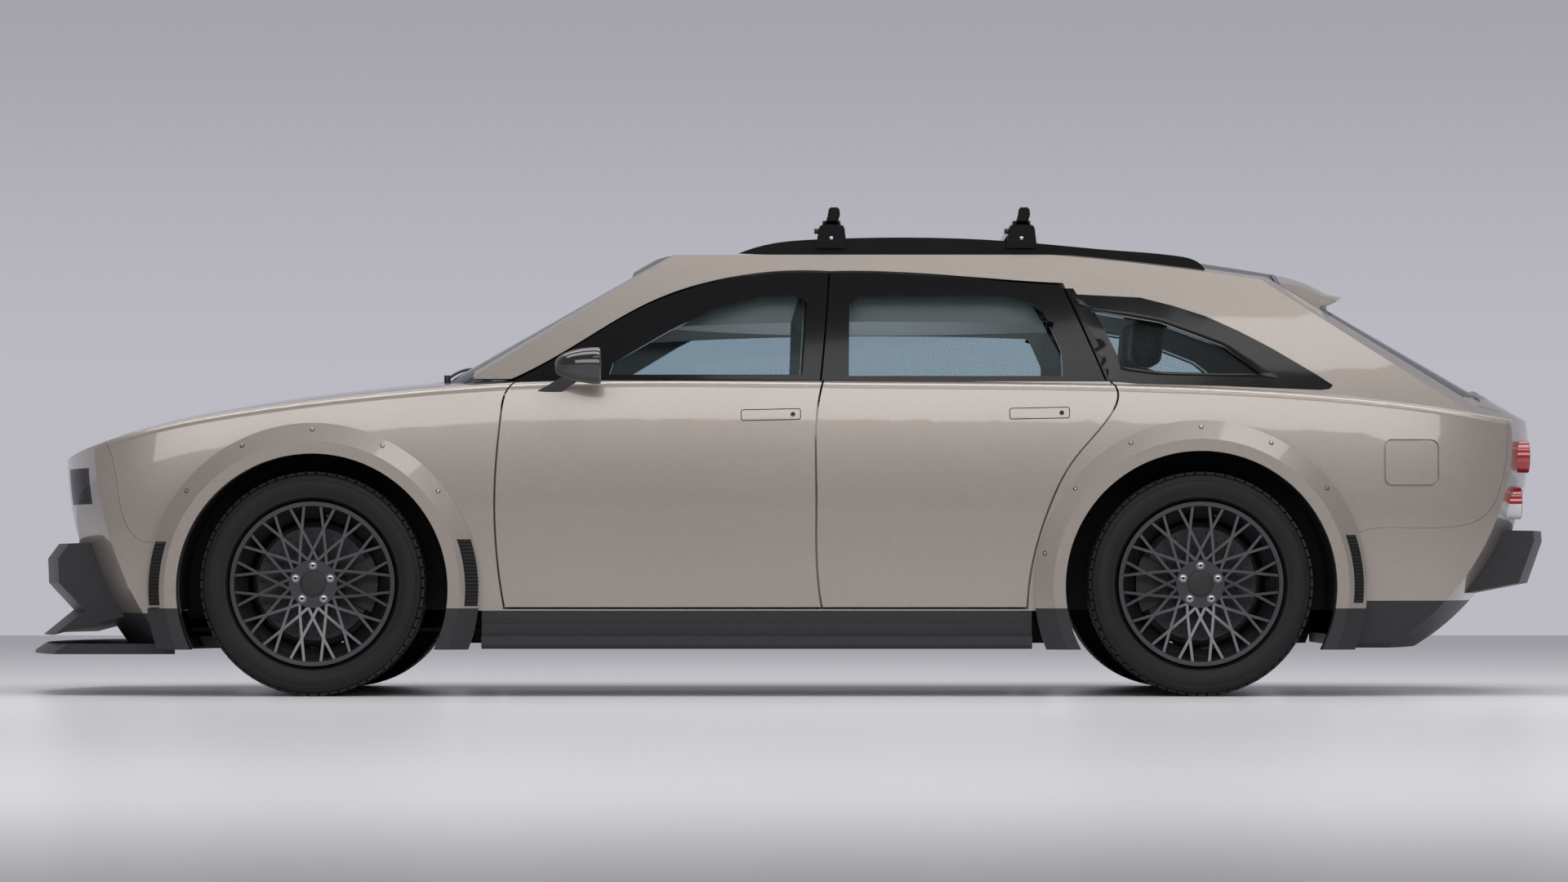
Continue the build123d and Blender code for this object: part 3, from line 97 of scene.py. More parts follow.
class Finish:
    """A material with a principled shader."""

    def __init__(self, name, **fixed):
        self.material = bpy.data.materials.new(name)
        self.material.use_nodes = True
        self.tree = self.material.node_tree
        self.shader = self.tree.nodes["Principled BSDF"]
        self.output = self.tree.nodes["Material Output"]
        for socket, value in fixed.items():
            self.put(self.shader.inputs[socket.replace("_", " ")], value)

    def put(self, socket, value):
        if isinstance(value, Value):
            self.tree.links.new(value.socket, socket)
        elif isinstance(value, tuple) and len(value) == 3 and socket.type == "RGBA":
            socket.default_value = (*value, 1)
        else:
            socket.default_value = value

    def node(self, kind, settings=None, inputs=None, output=0):
        made = self.tree.nodes.new(kind)
        for key, value in (settings or {}).items():
            if key == "stops":
                self.ramp(made.color_ramp, value)
            else:
                setattr(made, key, value)
        for key, value in (inputs or {}).items():
            self.put(made.inputs[key], value)
        return Value(self, made.outputs[output])

    def ramp(self, ramp, stops):
        while len(ramp.elements) < len(stops):
            ramp.elements.new(1)
        for element, (place, shade) in zip(ramp.elements, stops):
            element.position = place
            element.color = (shade, shade, shade, 1)

    def place(self):
        return self.node("ShaderNodeTexCoord", output="Object")

    def along(self, place):
        split = self.tree.nodes.new("ShaderNodeSeparateXYZ")
        self.tree.links.new(place.socket, split.inputs[0])
        return [Value(self, split.outputs[number]) for number in range(3)]

    def noise(self, scale, detail=2.0, roughness=0.5, place=None):
        inputs = {"Vector": place or self.place(), "Scale": scale, "Detail": detail, "Roughness": roughness}
        return self.node("ShaderNodeTexNoise", None, inputs, "Fac")

    def shade(self, value, low, high):
        """A value between 0 and 1 turned into one between low and high."""
        return self.node("ShaderNodeMapRange", None, {"Value": value, "To Min": low, "To Max": high})

    def smooth(self, value, start, end):
        """0 before start, 1 after end."""
        inputs = {"Value": value, "From Min": start, "From Max": end}
        return self.node("ShaderNodeMapRange", {"interpolation_type": "SMOOTHSTEP"}, inputs)

    def blend(self, factor, first, second):
        return self.node("ShaderNodeMix", {"data_type": "RGBA"}, {0: factor, 6: first, 7: second}, 2)

    def bump(self, height, strength, distance):
        inputs = {"Height": height, "Strength": strength, "Distance": distance}
        return self.node("ShaderNodeBump", None, inputs)

    def surface(self, **values):
        for socket, value in values.items():
            self.put(self.shader.inputs[socket.replace("_", " ")], value)
        return self.material


PAINT_LIGHT = (0.300, 0.262, 0.236)
PAINT_DARK = (0.236, 0.205, 0.182)
TRIM_DARK = (0.012, 0.012, 0.013)
GLOSS_BLACK = (0.004, 0.004, 0.0045)
HEADLINING = (0.40, 0.40, 0.41)
LACQUER = {"Coat_Roughness": 0.04, "Coat_IOR": 1.5, "Specular_IOR_Level": 0.2}


def paint_values(finish):
    """Champagne metallic paint: colour with fine flakes, and roughness."""
    flakes = finish.node("ShaderNodeTexVoronoi", None, {"Vector": finish.place(), "Scale": 900.0}, "Color")
    sparkle = finish.along(flakes)[0]
    cloud = finish.noise(1.1, 1.0)
    colour = finish.blend(finish.shade(cloud, 0.3, 0.7), PAINT_DARK, PAINT_LIGHT)
    flaked = finish.blend(sparkle * 0.22, colour, (0.62, 0.57, 0.52))
    return flaked, finish.shade(sparkle, 0.30, 0.42)


def inward_part(finish):
    """1 on faces that look to the middle of the car, which carry dark cabin trim."""
    place = finish.along(finish.place())
    facing = finish.along(finish.node("ShaderNodeNewGeometry", output="True Normal"))
    return (facing[1] * place[1]).below(-0.12)


def make_paint():
    finish = Finish("champagne_paint", Coat_Weight=0.9, Metallic=0.55, **LACQUER)
    colour, roughness = paint_values(finish)
    return finish.surface(Base_Color=colour, Roughness=roughness)


def make_trimmed_paint(name, black_above, black_pillar=False):
    """The same paint, gloss black above a height, with cabin trim on the inner faces.
    A black pillar follows the slanting shut line of the rear door above the belt."""
    finish = Finish(name, **LACQUER)
    colour, roughness = paint_values(finish)
    x, y, z = finish.along(finish.place())
    frame_part = z.above(black_above)
    if black_pillar:
        pillar = z.above(1.045) * z.below(1.364) * x.above(0.86) * (x + z * 0.585).below(1.755)
        frame_part = frame_part.maths("MAXIMUM", pillar)
    inner = inward_part(finish)
    dark = frame_part.maths("MAXIMUM", inner)
    mixed = finish.blend(frame_part, colour, GLOSS_BLACK)
    mixed = finish.blend(inner, mixed, finish.blend(z.above(BELT_Z), TRIM_DARK, HEADLINING))
    rough = roughness - frame_part * (roughness - 0.12)
    rough = rough + inner * (0.7 - rough)
    return finish.surface(
        Base_Color=mixed, Roughness=rough, Metallic=0.55 - dark * 0.55, Coat_Weight=0.9 - dark * 0.82
    )


def make_mirror_shell():
    """Gloss black above the mirror's middle line, dark satin below it."""
    finish = Finish("mirror_two_tone", Coat_Roughness=0.03)
    x, y, z = finish.along(finish.place())
    low = z.below(1.0935)
    grain = finish.noise(700.0, 2.0)
    colour = finish.blend(low, (0.008, 0.008, 0.009), (0.040, 0.038, 0.043))
    rough = finish.shade(grain, 0.08, 0.14) + low * 0.26
    return finish.surface(Base_Color=colour, Roughness=rough, Coat_Weight=0.6 - low * 0.6)


def make_black_gloss():
    finish = Finish("gloss_black", Coat_Weight=0.08, Coat_Roughness=0.03, Specular_IOR_Level=0.25)
    haze = finish.noise(3.0, 3.0)
    tone = finish.blend(haze, GLOSS_BLACK, (0.006, 0.006, 0.0065))
    return finish.surface(Base_Color=tone, Roughness=finish.shade(haze, 0.08, 0.16))


def make_weave(name, low, high, scale):
    """Twill weave under clear lacquer."""
    finish = Finish(name, Coat_Roughness=0.03, Specular_IOR_Level=0.3)
    x, y, z = finish.along(finish.place())
    across = ((x + y) * scale).maths("SINE")
    along = ((x - y) * scale).maths("SINE")
    weave = finish.smooth(across * along, -0.25, 0.25)
    under = finish.along(finish.node("ShaderNodeNewGeometry", output="True Normal"))[2].below(-0.1)
    colour = finish.blend(under, finish.blend(weave, (low,) * 3, (high,) * 3), HEADLINING)
    rough = finish.shade(weave, 0.22, 0.38) + under * 0.5
    relief = finish.bump(weave, 0.25, 0.0004)
    return finish.surface(Base_Color=colour, Roughness=rough, Coat_Weight=0.2 - under * 0.2, Normal=relief)


def make_cladding():
    finish = Finish("dark_satin_cladding", Specular_IOR_Level=0.35)
    grain = finish.noise(700.0, 2.0)
    speck = finish.node("ShaderNodeTexVoronoi", None, {"Vector": finish.place(), "Scale": 1300.0}, "Color")
    fleck = finish.smooth(finish.along(speck)[0], 0.80, 1.0)
    colour = finish.blend(fleck * 0.35, (0.024, 0.0235, 0.027), (0.13, 0.13, 0.145))
    rough = finish.shade(grain, 0.36, 0.50)
    bumps = finish.bump(grain, 0.12, 0.0003)
    return finish.surface(Base_Color=colour, Roughness=rough, Metallic=0.2, Normal=bumps)


def make_plain(name, colour, low, high, metallic=0.0, grain=420.0, depth=0.0002):
    """Moulded or cast stuff with fine grain and soft wear."""
    finish = Finish(name, Metallic=metallic)
    texture = finish.noise(grain, 3.0)
    wear = finish.noise(6.0, 4.0)
    darker = tuple(part * 0.72 for part in colour)
    tone = finish.blend(wear, darker, colour)
    rough = finish.shade(texture, low, high)
    return finish.surface(Base_Color=tone, Roughness=rough, Normal=finish.bump(texture, 0.18, depth))


def make_glass(name, tint, gloss):
    """Tinted pane: what is behind shows through, with reflections at grazing angles."""
    finish = Finish(name, Roughness=0.02, Base_Color=(0.02, 0.025, 0.03), Specular_IOR_Level=0.6)
    fresnel = finish.node("ShaderNodeLayerWeight", None, {"Blend": 0.25}, "Fresnel")
    clear = finish.node("ShaderNodeBsdfTransparent", None, {"Color": tint})
    factor = finish.shade(fresnel, gloss, 0.75)
    glossy = Value(finish, finish.shader.outputs[0])
    mixed = finish.node("ShaderNodeMixShader", None, {0: factor, 1: clear, 2: glossy})
    finish.tree.links.new(mixed.socket, finish.output.inputs["Surface"])
    return finish.material


def make_tyre():
    finish = Finish("tyre_rubber", Specular_IOR_Level=0.28)
    dust = finish.noise(9.0, 5.0, 0.6)
    grain = finish.noise(500.0, 2.0)
    colour = finish.blend(dust, (0.0035, 0.0035, 0.0042), (0.0085, 0.0085, 0.0095))
    rough = finish.shade(grain, 0.46, 0.66)
    return finish.surface(Base_Color=colour, Roughness=rough, Normal=finish.bump(grain, 0.2, 0.0003))


def make_rim_metal():
    finish = Finish("gunmetal_rim", Metallic=0.85, Coat_Weight=0.35, Coat_Roughness=0.08)
    grain = finish.noise(300.0, 2.0)
    wear = finish.noise(5.0, 3.0)
    colour = finish.blend(wear, (0.058, 0.058, 0.063), (0.090, 0.090, 0.098))
    return finish.surface(Base_Color=colour, Roughness=finish.shade(grain, 0.20, 0.30))


def make_leather():
    finish = Finish("seat_leather", Specular_IOR_Level=0.4)
    inputs = {"Vector": finish.place(), "Scale": 260.0}
    grain = finish.node("ShaderNodeTexVoronoi", {"feature": "DISTANCE_TO_EDGE"}, inputs, "Distance")
    cracks = finish.smooth(grain, 0.0, 0.18)
    tone = finish.noise(4.0, 3.0)
    colour = finish.blend(tone, (0.018, 0.017, 0.017), (0.034, 0.032, 0.031))
    rough = finish.shade(cracks, 0.62, 0.42)
    return finish.surface(Base_Color=colour, Roughness=rough, Normal=finish.bump(cracks, 0.35, 0.0006))


def make_lens(name, colour, strength, clear_below=0.0):
    """Moulded lamp lens with fine flutes, clear below a height."""
    finish = Finish(name, Roughness=0.08, Coat_Weight=1.0, Coat_Roughness=0.02, Emission_Strength=strength)
    x, y, z = finish.along(finish.place())
    flutes = finish.shade((y * 900.0).maths("SINE"), 0.0, 1.0)
    tone = finish.blend(flutes, tuple(part * 0.55 for part in colour), colour)
    tone = finish.blend(z.below(clear_below), tone, (0.52, 0.52, 0.54))
    return finish.surface(Base_Color=tone, Emission_Color=tone, Normal=finish.bump(flutes, 0.3, 0.0006))


paint = make_paint()
door_paint = make_trimmed_paint("champagne_paint_doors", BELT_Z)
gate_paint = make_trimmed_paint("champagne_paint_gate", 1.000)
side_paint = make_trimmed_paint("champagne_paint_sides", 5.0, True)
mirror_shell = make_mirror_shell()
black_gloss = make_black_gloss()
roof_weave = make_weave("carbon_roof", 0.006, 0.018, 900.0)
cladding = make_cladding()
glass = make_glass("tinted_glass", (0.833, 0.905, 0.925), 0.04)
lamp_glass = make_glass("lamp_glass", (0.55, 0.56, 0.58), 0.12)
rubber = make_tyre()
rim_metal = make_rim_metal()
disc_steel = make_plain("brake_disc_steel", (0.045, 0.045, 0.048), 0.36, 0.50, 0.8, 120.0)
bright_steel = make_plain("bright_steel", (0.42, 0.42, 0.44), 0.16, 0.26, 0.95)
chassis_black = make_plain("chassis_black", (0.010, 0.010, 0.011), 0.42, 0.60, 0.1)
liner_plastic = make_plain("liner_plastic", (0.012, 0.012, 0.012), 0.70, 0.90)
seal_rubber = make_plain("seal_rubber", (0.010, 0.010, 0.010), 0.55, 0.75)
cabin_plastic = make_plain("cabin_plastic", (0.024, 0.024, 0.025), 0.50, 0.68, 0.0, 600.0)
carpet = make_plain("carpet", (0.018, 0.018, 0.019), 0.90, 1.0, 0.0, 900.0, 0.002)
engine_metal = make_plain("engine_metal", (0.16, 0.16, 0.165), 0.40, 0.60, 0.7)
leather = make_leather()
red_lens = make_lens("red_lens", (0.42, 0.006, 0.008), 0.12, 0.640)
mirror_silver = make_plain("mirror_silver", (0.78, 0.79, 0.80), 0.02, 0.05, 1.0, 30.0, 0.00001)
shadow_black = make_plain("shadow_black", (0.004, 0.004, 0.004), 0.80, 0.95)

NODE_FINISHES = {
    paint: "front_wings bonnet nose_panel rear_bumper_cover fuel_flap arch_flares",
    side_paint: "body_sides",
    gate_paint: "tailgate",
    door_paint: "front_door_left front_door_right rear_door_left rear_door_right",
    roof_weave: "roof_panel",
    black_gloss: "roof_rails roof_rack mirror_left mirror_right grille cowl",
    cladding: "arch_skirts side_skirts side_steps front_bumper front_splitter rear_bumper rear_valance",
    glass: "windscreen quarter_windows front_door_glass_left front_door_glass_right"
    " rear_door_glass_left rear_door_glass_right tailgate_glass",
    lamp_glass: "headlamps",
    red_lens: "tail_lamps",
    rubber: "tyre_front_left tyre_front_right tyre_rear_left tyre_rear_right",
    rim_metal: "rim_front_left rim_front_right rim_rear_left rim_rear_right",
    chassis_black: "knuckle_left knuckle_right front_subframe rear_axle bulkhead slam_panel",
    liner_plastic: "wheel_liners undertray",
    seal_rubber: "door_seals",
    cabin_plastic: "dashboard steering_wheel",
    carpet: "floor_pan",
    leather: "front_seats rear_bench",
    engine_metal: "engine_block",
}


for material, names in NODE_FINISHES.items():
    for name in names.split():
        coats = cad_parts[name].data.materials
        coats.clear()
        coats.append(material)


# Making pieces


def finished(name, shape, material, body, sharp=35):
    """Turns a bmesh into a piece that rides on a body."""
    bmesh.ops.remove_doubles(shape, verts=shape.verts, dist=0.00002)
    bmesh.ops.recalc_face_normals(shape, faces=shape.faces)
    mesh = bpy.data.meshes.new(name)
    shape.to_mesh(mesh)
    shape.free()
    mesh.shade_smooth()
    mesh.set_sharp_from_angle(angle=math.radians(sharp))
    mesh.materials.append(material)
    piece = bpy.data.objects.new(name, mesh)
    bpy.context.scene.collection.objects.link(piece)
    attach(piece, body)
    return piece


def turn_from_z(direction):
    """A rotation that takes +Z to a direction."""
    return Vector(direction).to_track_quat("Z", "Y").to_matrix().to_4x4()


def add_block(shape, centre, size, bevel=0.0, turn=None, segments=2):
    """A box with rounded edges."""
    matrix = Matrix.Translation(centre) @ (turn or Matrix.Identity(4)) @ Matrix.Diagonal((*size, 1))
    made = bmesh.ops.create_cube(shape, size=1, matrix=matrix)["verts"]
    if bevel:
        edges = {edge for vert in made for edge in vert.link_edges}
        result = bmesh.ops.bevel(
            shape, geom=list(edges), offset=bevel, affect="EDGES", segments=segments, profile=0.5, material=-1
        )
        return result["verts"]
    return made


def add_rod(shape, start, end, radius, far_radius=None, segments=20, bevel=0.0):
    """A round rod between two places."""
    start = Vector(start)
    end = Vector(end)
    matrix = Matrix.Translation((start + end) / 2) @ turn_from_z(end - start)
    made = bmesh.ops.create_cone(
        shape,
        cap_ends=True,
        segments=segments,
        radius1=radius,
        radius2=radius if far_radius is None else far_radius,
        depth=(end - start).length,
        matrix=matrix,
    )["verts"]
    if bevel:
        rings = {edge for vert in made for edge in vert.link_edges if len(edge.link_faces) == 2}
        caps = [edge for edge in rings if any(len(face.verts) > 4 for face in edge.link_faces)]
        bmesh.ops.bevel(shape, geom=caps, offset=bevel, affect="EDGES", segments=2, profile=0.5, material=-1)
    return made


def add_ring(shape, profile, centre, axis=(0, 1, 0), steps=96, closed=True):
    """A profile of (distance along the axis, radius) spun round it."""
    centre = Vector(centre)
    axis = Vector(axis)
    out = Vector((0, 0, 1)) if abs(axis.z) < 0.9 else Vector((1, 0, 0))
    verts = [shape.verts.new(centre + axis * along + out * radius) for along, radius in profile]
    pairs = list(zip(verts, verts[1:]))
    if closed:
        pairs.append((verts[-1], verts[0]))
    edges = [shape.edges.new(pair) for pair in pairs]
    bmesh.ops.spin(
        shape, geom=verts + edges, cent=centre, axis=axis, angle=math.tau, steps=steps, use_merge=True
    )


def add_loft(shape, rings):
    """A closed skin through rings that have the same number of places."""
    loops = [[shape.verts.new(place) for place in ring] for ring in rings]
    for near, far in zip(loops, loops[1:]):
        for first in range(len(near)):
            second = (first + 1) % len(near)
            shape.faces.new((near[first], near[second], far[second], far[first]))
    shape.faces.new(loops[0])
    shape.faces.new(loops[-1])


def skin(*names):
    """The outer surface of some CAD nodes, as a tree that rays can meet."""
    joined = bmesh.new()
    for name in names:
        joined.from_mesh(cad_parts[name].data)
    tree = BVHTree.FromBMesh(joined)
    joined.free()
    return tree


def side_skin_y(tree, x, z, side, fallback=0.9):
    """How far from the middle the surface lies at a side place."""
    hit = tree.ray_cast(Vector((x, side * 2.0, z)), Vector((0, -side, 0)))
    return hit[0].y if hit[0] else side * fallback


def around(centre, radius, angle):
    """A place on an upright circle."""
    return centre + Vector((radius * math.cos(angle), 0, radius * math.sin(angle)))


# Wheels: treaded tyres, brake discs, bolts and caps

TREAD_ROWS = (
    (-0.106, 0.030),
    (-0.064, 0.034),
    (-0.021, 0.030),
    (0.021, 0.030),
    (0.064, 0.034),
    (0.106, 0.030),
)
TREAD_PITCHES = 68
SIDEWALL = (
    (0.098, 0.2746),
    (0.112, 0.2790),
    (0.1235, 0.2880),
    (0.1262, 0.2990),
    (0.1300, 0.3050),
    (0.1315, 0.3180),
    (0.1322, 0.3300),
    (0.1300, 0.3420),
    (0.1318, 0.3450),
    (0.1262, 0.3580),
    (0.1180, 0.3645),
    (0.0950, 0.3665),
    (0.0480, 0.3672),
)
CASING = (
    (-0.095, 0.2746),
    (-0.100, 0.29),
    (-0.108, 0.33),
    (-0.095, 0.350),
    (0.095, 0.350),
    (0.108, 0.33),
    (0.100, 0.29),
    (0.095, 0.2746),
)
CROWN_RADIUS = 0.3674
BOLT_COUNT = 5
BOLT_CIRCLE = 0.0605
HUB_FACE = 0.089
LIP_FACE = 0.123
DISC_FACE = 0.0228
SHIELD = (
    (-0.0400, 0.050),
    (-0.0400, 0.204),
    (-0.0340, 0.212),
    (-0.0325, 0.212),
    (-0.0385, 0.2035),
    (-0.0385, 0.050),
)


def make_tyre_piece(x, side, place):
    centre = Vector((x, side * WHEEL_Y, AXLE_Z))
    far_wall = tuple((-along, radius) for along, radius in reversed(SIDEWALL))
    shape = bmesh.new()
    add_ring(shape, SIDEWALL + ((0, CROWN_RADIUS),) + far_wall + CASING, centre, steps=128)
    pitch = math.tau / TREAD_PITCHES
    for number in range(TREAD_PITCHES):
        for row, (across_y, width) in enumerate(TREAD_ROWS):
            angle = (number + 0.5 * (row % 2)) * pitch
            edge = abs(across_y) > 0.1
            radius = 0.3672 if edge else 0.3690
            length = pitch * AXLE_Z * (0.80 if edge else 0.74)
            turn = Matrix.Rotation(angle, 4, "Y")
            slant = Matrix.Rotation(math.radians(14 if across_y > 0 else -14), 4, "Z")
            middle = centre + turn @ Vector((0, across_y, radius))
            add_block(shape, middle, (length, width, 0.0074), 0.0, turn @ slant)
    piece = finished(f"treaded_tyre_{place}", shape, rubber, f"wheel_{place}", 28)
    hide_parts(f"tyre_{place}")


def make_wheel_details(x, side, place):
    centre = Vector((x, side * WHEEL_Y, AXLE_Z))
    out = Vector((0, side, 0))
    body = f"wheel_{place}"

    bolts = bmesh.new()
    # The black hexagons on the bolt heads are painted shade inside the sockets.
    socket_shade = bmesh.new()
    for number in range(BOLT_COUNT):
        spot = around(centre, BOLT_CIRCLE, math.radians(90 + 360 / BOLT_COUNT * number)) + out * HUB_FACE
        add_rod(bolts, spot - out * 0.004, spot + out * 0.010, 0.0098, segments=24, bevel=0.0012)
        add_ring(bolts, ((0, 0.0105), (0.003, 0.0105), (0.003, 0.0140), (0, 0.0140)), spot, out, 24)
        add_rod(socket_shade, spot + out * 0.006, spot + out * 0.0103, 0.0052, segments=6)
    finished(f"wheel_bolts_{place}", bolts, bright_steel, body)
    finished(f"bolt_socket_shade_{place}", socket_shade, shadow_black, body)

    cap = bmesh.new()
    dome = (
        (-0.010, 0.0), (-0.010, 0.0430), (0.0035, 0.0430),
        (0.0055, 0.0405), (0.0062, 0.030), (0.0068, 0.0),
    )
    add_ring(cap, dome, centre + out * HUB_FACE, out, 64, closed=False)
    finished(f"centre_cap_{place}", cap, chassis_black, body)

    trim = bmesh.new()
    hub_ring = ((0, 0.0455), (0.003, 0.0455), (0.003, 0.0475), (0, 0.0475))
    add_ring(trim, hub_ring, centre + out * HUB_FACE, out, 64)
    lip_ring = ((-0.001, 0.2585), (0.0006, 0.2590), (0.0010, 0.2620), (0.0006, 0.2665), (-0.001, 0.2670))
    add_ring(trim, lip_ring, centre + out * LIP_FACE, out, 128)
    finished(f"rim_rings_{place}", trim, rim_metal, body)

    disc = bmesh.new()
    plate = ((0, 0.086), (0, 0.1865), (-0.003, 0.1878), (-0.003, 0.086))
    add_ring(disc, plate, centre + out * DISC_FACE, out, 96)
    finished(f"brake_disc_face_{place}", disc, disc_steel, body)

    shield = bmesh.new()
    add_ring(shield, SHIELD, centre, out, 96)
    holder = place.replace("front", "steering") if place.startswith("front") else "body"
    finished(f"dust_shield_{place}", shield, chassis_black, holder)

    # The black plugs in the drillings are painted shade inside the holes.
    hole_shade = bmesh.new()
    for number in range(30):
        for row in range(4):
            turn = math.tau * (number + 0.27 * row) / 30
            spot = around(centre, 0.102 + 0.023 * row, turn) + out * DISC_FACE
            add_rod(hole_shade, spot - out * 0.002, spot + out * 0.0003, 0.0034, segments=10)
    finished(f"brake_disc_hole_shade_{place}", hole_shade, shadow_black, body)

    valve = bmesh.new()
    spot = around(centre, 0.236, math.radians(78))
    tip = spot + out * 0.108 - Vector((0, 0, 0.006))
    add_rod(valve, spot + out * 0.070, tip, 0.0042, segments=12, bevel=0.001)
    finished(f"tyre_valve_{place}", valve, chassis_black, body)


for side, side_name in SIDES:
    for x, end in ((FRONT_AXLE_X, "front"), (REAR_AXLE_X, "rear")):
        make_tyre_piece(x, side, f"{end}_{side_name}")
        make_wheel_details(x, side, f"{end}_{side_name}")


# Arch flares: bolt heads and vents

for side, side_name in SIDES:
    heads = bmesh.new()
    recess_shade = bmesh.new()
    for x, z, last in ((FRONT_AXLE_X, FRONT_ARCH_Z, 2), (REAR_AXLE_X, REAR_ARCH_Z, 3)):
        for number in range(-2, last + 1):
            radial = around(Vector(), 1, math.radians(90 + 26 * number))
            normal = (Vector((0, side, 0)) * 62 + radial * 33).normalized()
            spot = Vector((x, side * 0.9638, z)) + radial * 0.530
            # The black rings round the bolt heads are painted shade in their recesses.
            add_rod(recess_shade, spot - normal * 0.002, spot + normal * 0.0006, 0.0078, segments=20)
            add_rod(heads, spot - normal * 0.001, spot + normal * 0.0026, 0.0058, segments=20, bevel=0.0008)
    finished(f"flare_bolts_{side_name}", heads, bright_steel, "body")
    finished(f"flare_bolt_shade_{side_name}", recess_shade, shadow_black, "body")


# Plates that follow the body's side


def add_side_plate(shape, rows, tree, side, proud, depth, ring=False, floats=0):
    """Rows of (x, z) places laid on the side, proud of it, with an edge turned in by a depth.
    The last rows may float: they keep the distance from the middle that the row before has."""
    lines = []
    for number, row in enumerate(rows):
        line = []
        for place, (x, z) in enumerate(row):
            if number >= len(rows) - floats:
                y = lines[-1][place].co.y
            else:
                y = side_skin_y(tree, x, z, side) + side * proud
            line.append(shape.verts.new((x, y, z)))
        lines.append(line)
    faces = []
    for near, far in zip(lines, lines[1:]):
        pairs = list(zip(range(len(near) - 1), range(1, len(near))))
        if ring:
            pairs.append((len(near) - 1, 0))
        for first, second in pairs:
            faces.append(shape.faces.new((near[first], near[second], far[second], far[first])))
    rim = [edge for edge in {edge for face in faces for edge in face.edges} if len(edge.link_faces) == 1]
    made = bmesh.ops.extrude_edge_only(shape, edges=rim)["geom"]
    moved = [item for item in made if isinstance(item, bmesh.types.BMVert)]
    bmesh.ops.translate(shape, verts=moved, vec=(0, -side * depth, 0))


def rounded_rows(x0, x1, z0, z1, radius, steps=10, tilt=0.0):
    """Rows of places over a rounded rectangle; tilt is how far z rises along it."""
    heights = []
    for number in range(7):
        heights.append(z0 + radius * (1 - math.cos(math.pi / 2 * number / 6)))
    heights += [z1 - (height - z0) for height in reversed(heights)]
    rows = []
    for z in heights:
        short = max(z0 + radius - z, z - (z1 - radius), 0.0)
        inset = radius - math.sqrt(max(radius**2 - short**2, 0.0))
        start = x0 + inset
        end = x1 - inset
        row = [(start + (end - start) * step / steps, z) for step in range(steps + 1)]
        rows.append([(x, z + tilt * (x - x0) / (x1 - x0)) for x, z in row])
    return rows


# Door handles with their lock barrels

HANDLES = (
    ("front", (-0.154, 0.040, 0.916, 0.949), 0.004),
    ("rear", (0.737, 0.932, 0.921, 0.954), 0.004),
)

for side, side_name in SIDES:
    for end, (x0, x1, z0, z1), tilt in HANDLES:
        tree = skin(f"{end}_door_{side_name}")
        body = f"door_{end}_{side_name}"
        gap = 0.0028
        # The black ring round each handle is painted shade in the gap between handle and door.
        shadow = bmesh.new()
        rows = rounded_rows(x0 - gap, x1 + gap, z0 - gap, z1 + gap, 0.0085, 12, tilt)
        add_side_plate(shadow, rows, tree, side, 0.0003, 0.003)
        finished(f"{end}_handle_gap_shade_{side_name}", shadow, shadow_black, body)
        plate = bmesh.new()
        add_side_plate(plate, rounded_rows(x0, x1, z0, z1, 0.006, 12, tilt), tree, side, 0.0016, 0.003)
        finished(f"{end}_handle_{side_name}", plate, paint, body)
        lock = bmesh.new()
        lock_x = x1 - 0.024
        lock_z = (z0 + z1) / 2 + 0.003
        spot = Vector((lock_x, side_skin_y(tree, lock_x, lock_z, side), lock_z))
        out = Vector((0, side, 0))
        add_ring(lock, ((0.001, 0.0058), (0.0030, 0.0058), (0.0030, 0.0078), (0.001, 0.0078)), spot, out, 32)
        add_rod(lock, spot, spot + out * 0.0021, 0.0060, segments=24)
        add_block(lock, spot + out * 0.0023, (0.0016, 0.0008, 0.0075))
        finished(f"{end}_lock_{side_name}", lock, chassis_black, body)


# Black surrounds of the quarter windows: pairs of places on the outer and the inner edge

QUARTER_SURROUND = (
    ((0.923, 1.360), (1.0184, 1.2864)),
    ((1.181, 1.333), (1.130, 1.2672)),
    ((1.290, 1.305), (1.2453, 1.2473)),
    ((1.398, 1.270), (1.3521, 1.2066)),
    ((1.510, 1.218), (1.4589, 1.1659)),
    ((1.615, 1.162), (1.5229, 1.1182)),
    ((1.764, 1.072), (1.5829, 1.0735)),
    ((1.818, 1.036), (1.5869, 1.0705)),
    ((1.808, 1.024), (1.5819, 1.0706)),
    ((1.778, 1.020), (1.560, 1.0711)),
    ((1.452, 1.033), (1.452, 1.0736)),
    ((1.167, 1.040), (1.2453, 1.0783)),
    ((1.105, 1.049), (1.1156, 1.0955)),
    ((1.018, 1.230), (1.0515, 1.2214)),
)


def between(first, second, share):
    return (first[0] + (second[0] - first[0]) * share, first[1] + (second[1] - first[1]) * share)


SURROUND_SHARES = (0.0, 0.25, 0.5, 0.75, 0.95, 1.04)


def surround_rows(pairs, spacing=0.018):
    """Closed rows of places from the outer edge to just past the inner one."""
    rows = [[] for _ in SURROUND_SHARES]
    for (outer, inner), (next_outer, next_inner) in zip(pairs, pairs[1:] + pairs[:1]):
        steps = max(1, round(math.dist(outer, next_outer) / spacing))
        for step in range(steps):
            start = between(outer, next_outer, step / steps)
            end = between(inner, next_inner, step / steps)
            for share, row in zip(SURROUND_SHARES, rows):
                row.append(between(start, end, share))
    return rows


def to_shut_line(tree, x, z, side):
    """The foremost x at a height where the side's outer skin still reaches."""
    depth = abs(side_skin_y(tree, x, z, side))
    while abs(side_skin_y(tree, x - 0.001, z, side) - side * depth) < 0.006 and x > 0.8:
        x -= 0.001
        depth = abs(side_skin_y(tree, x, z, side))
    return x


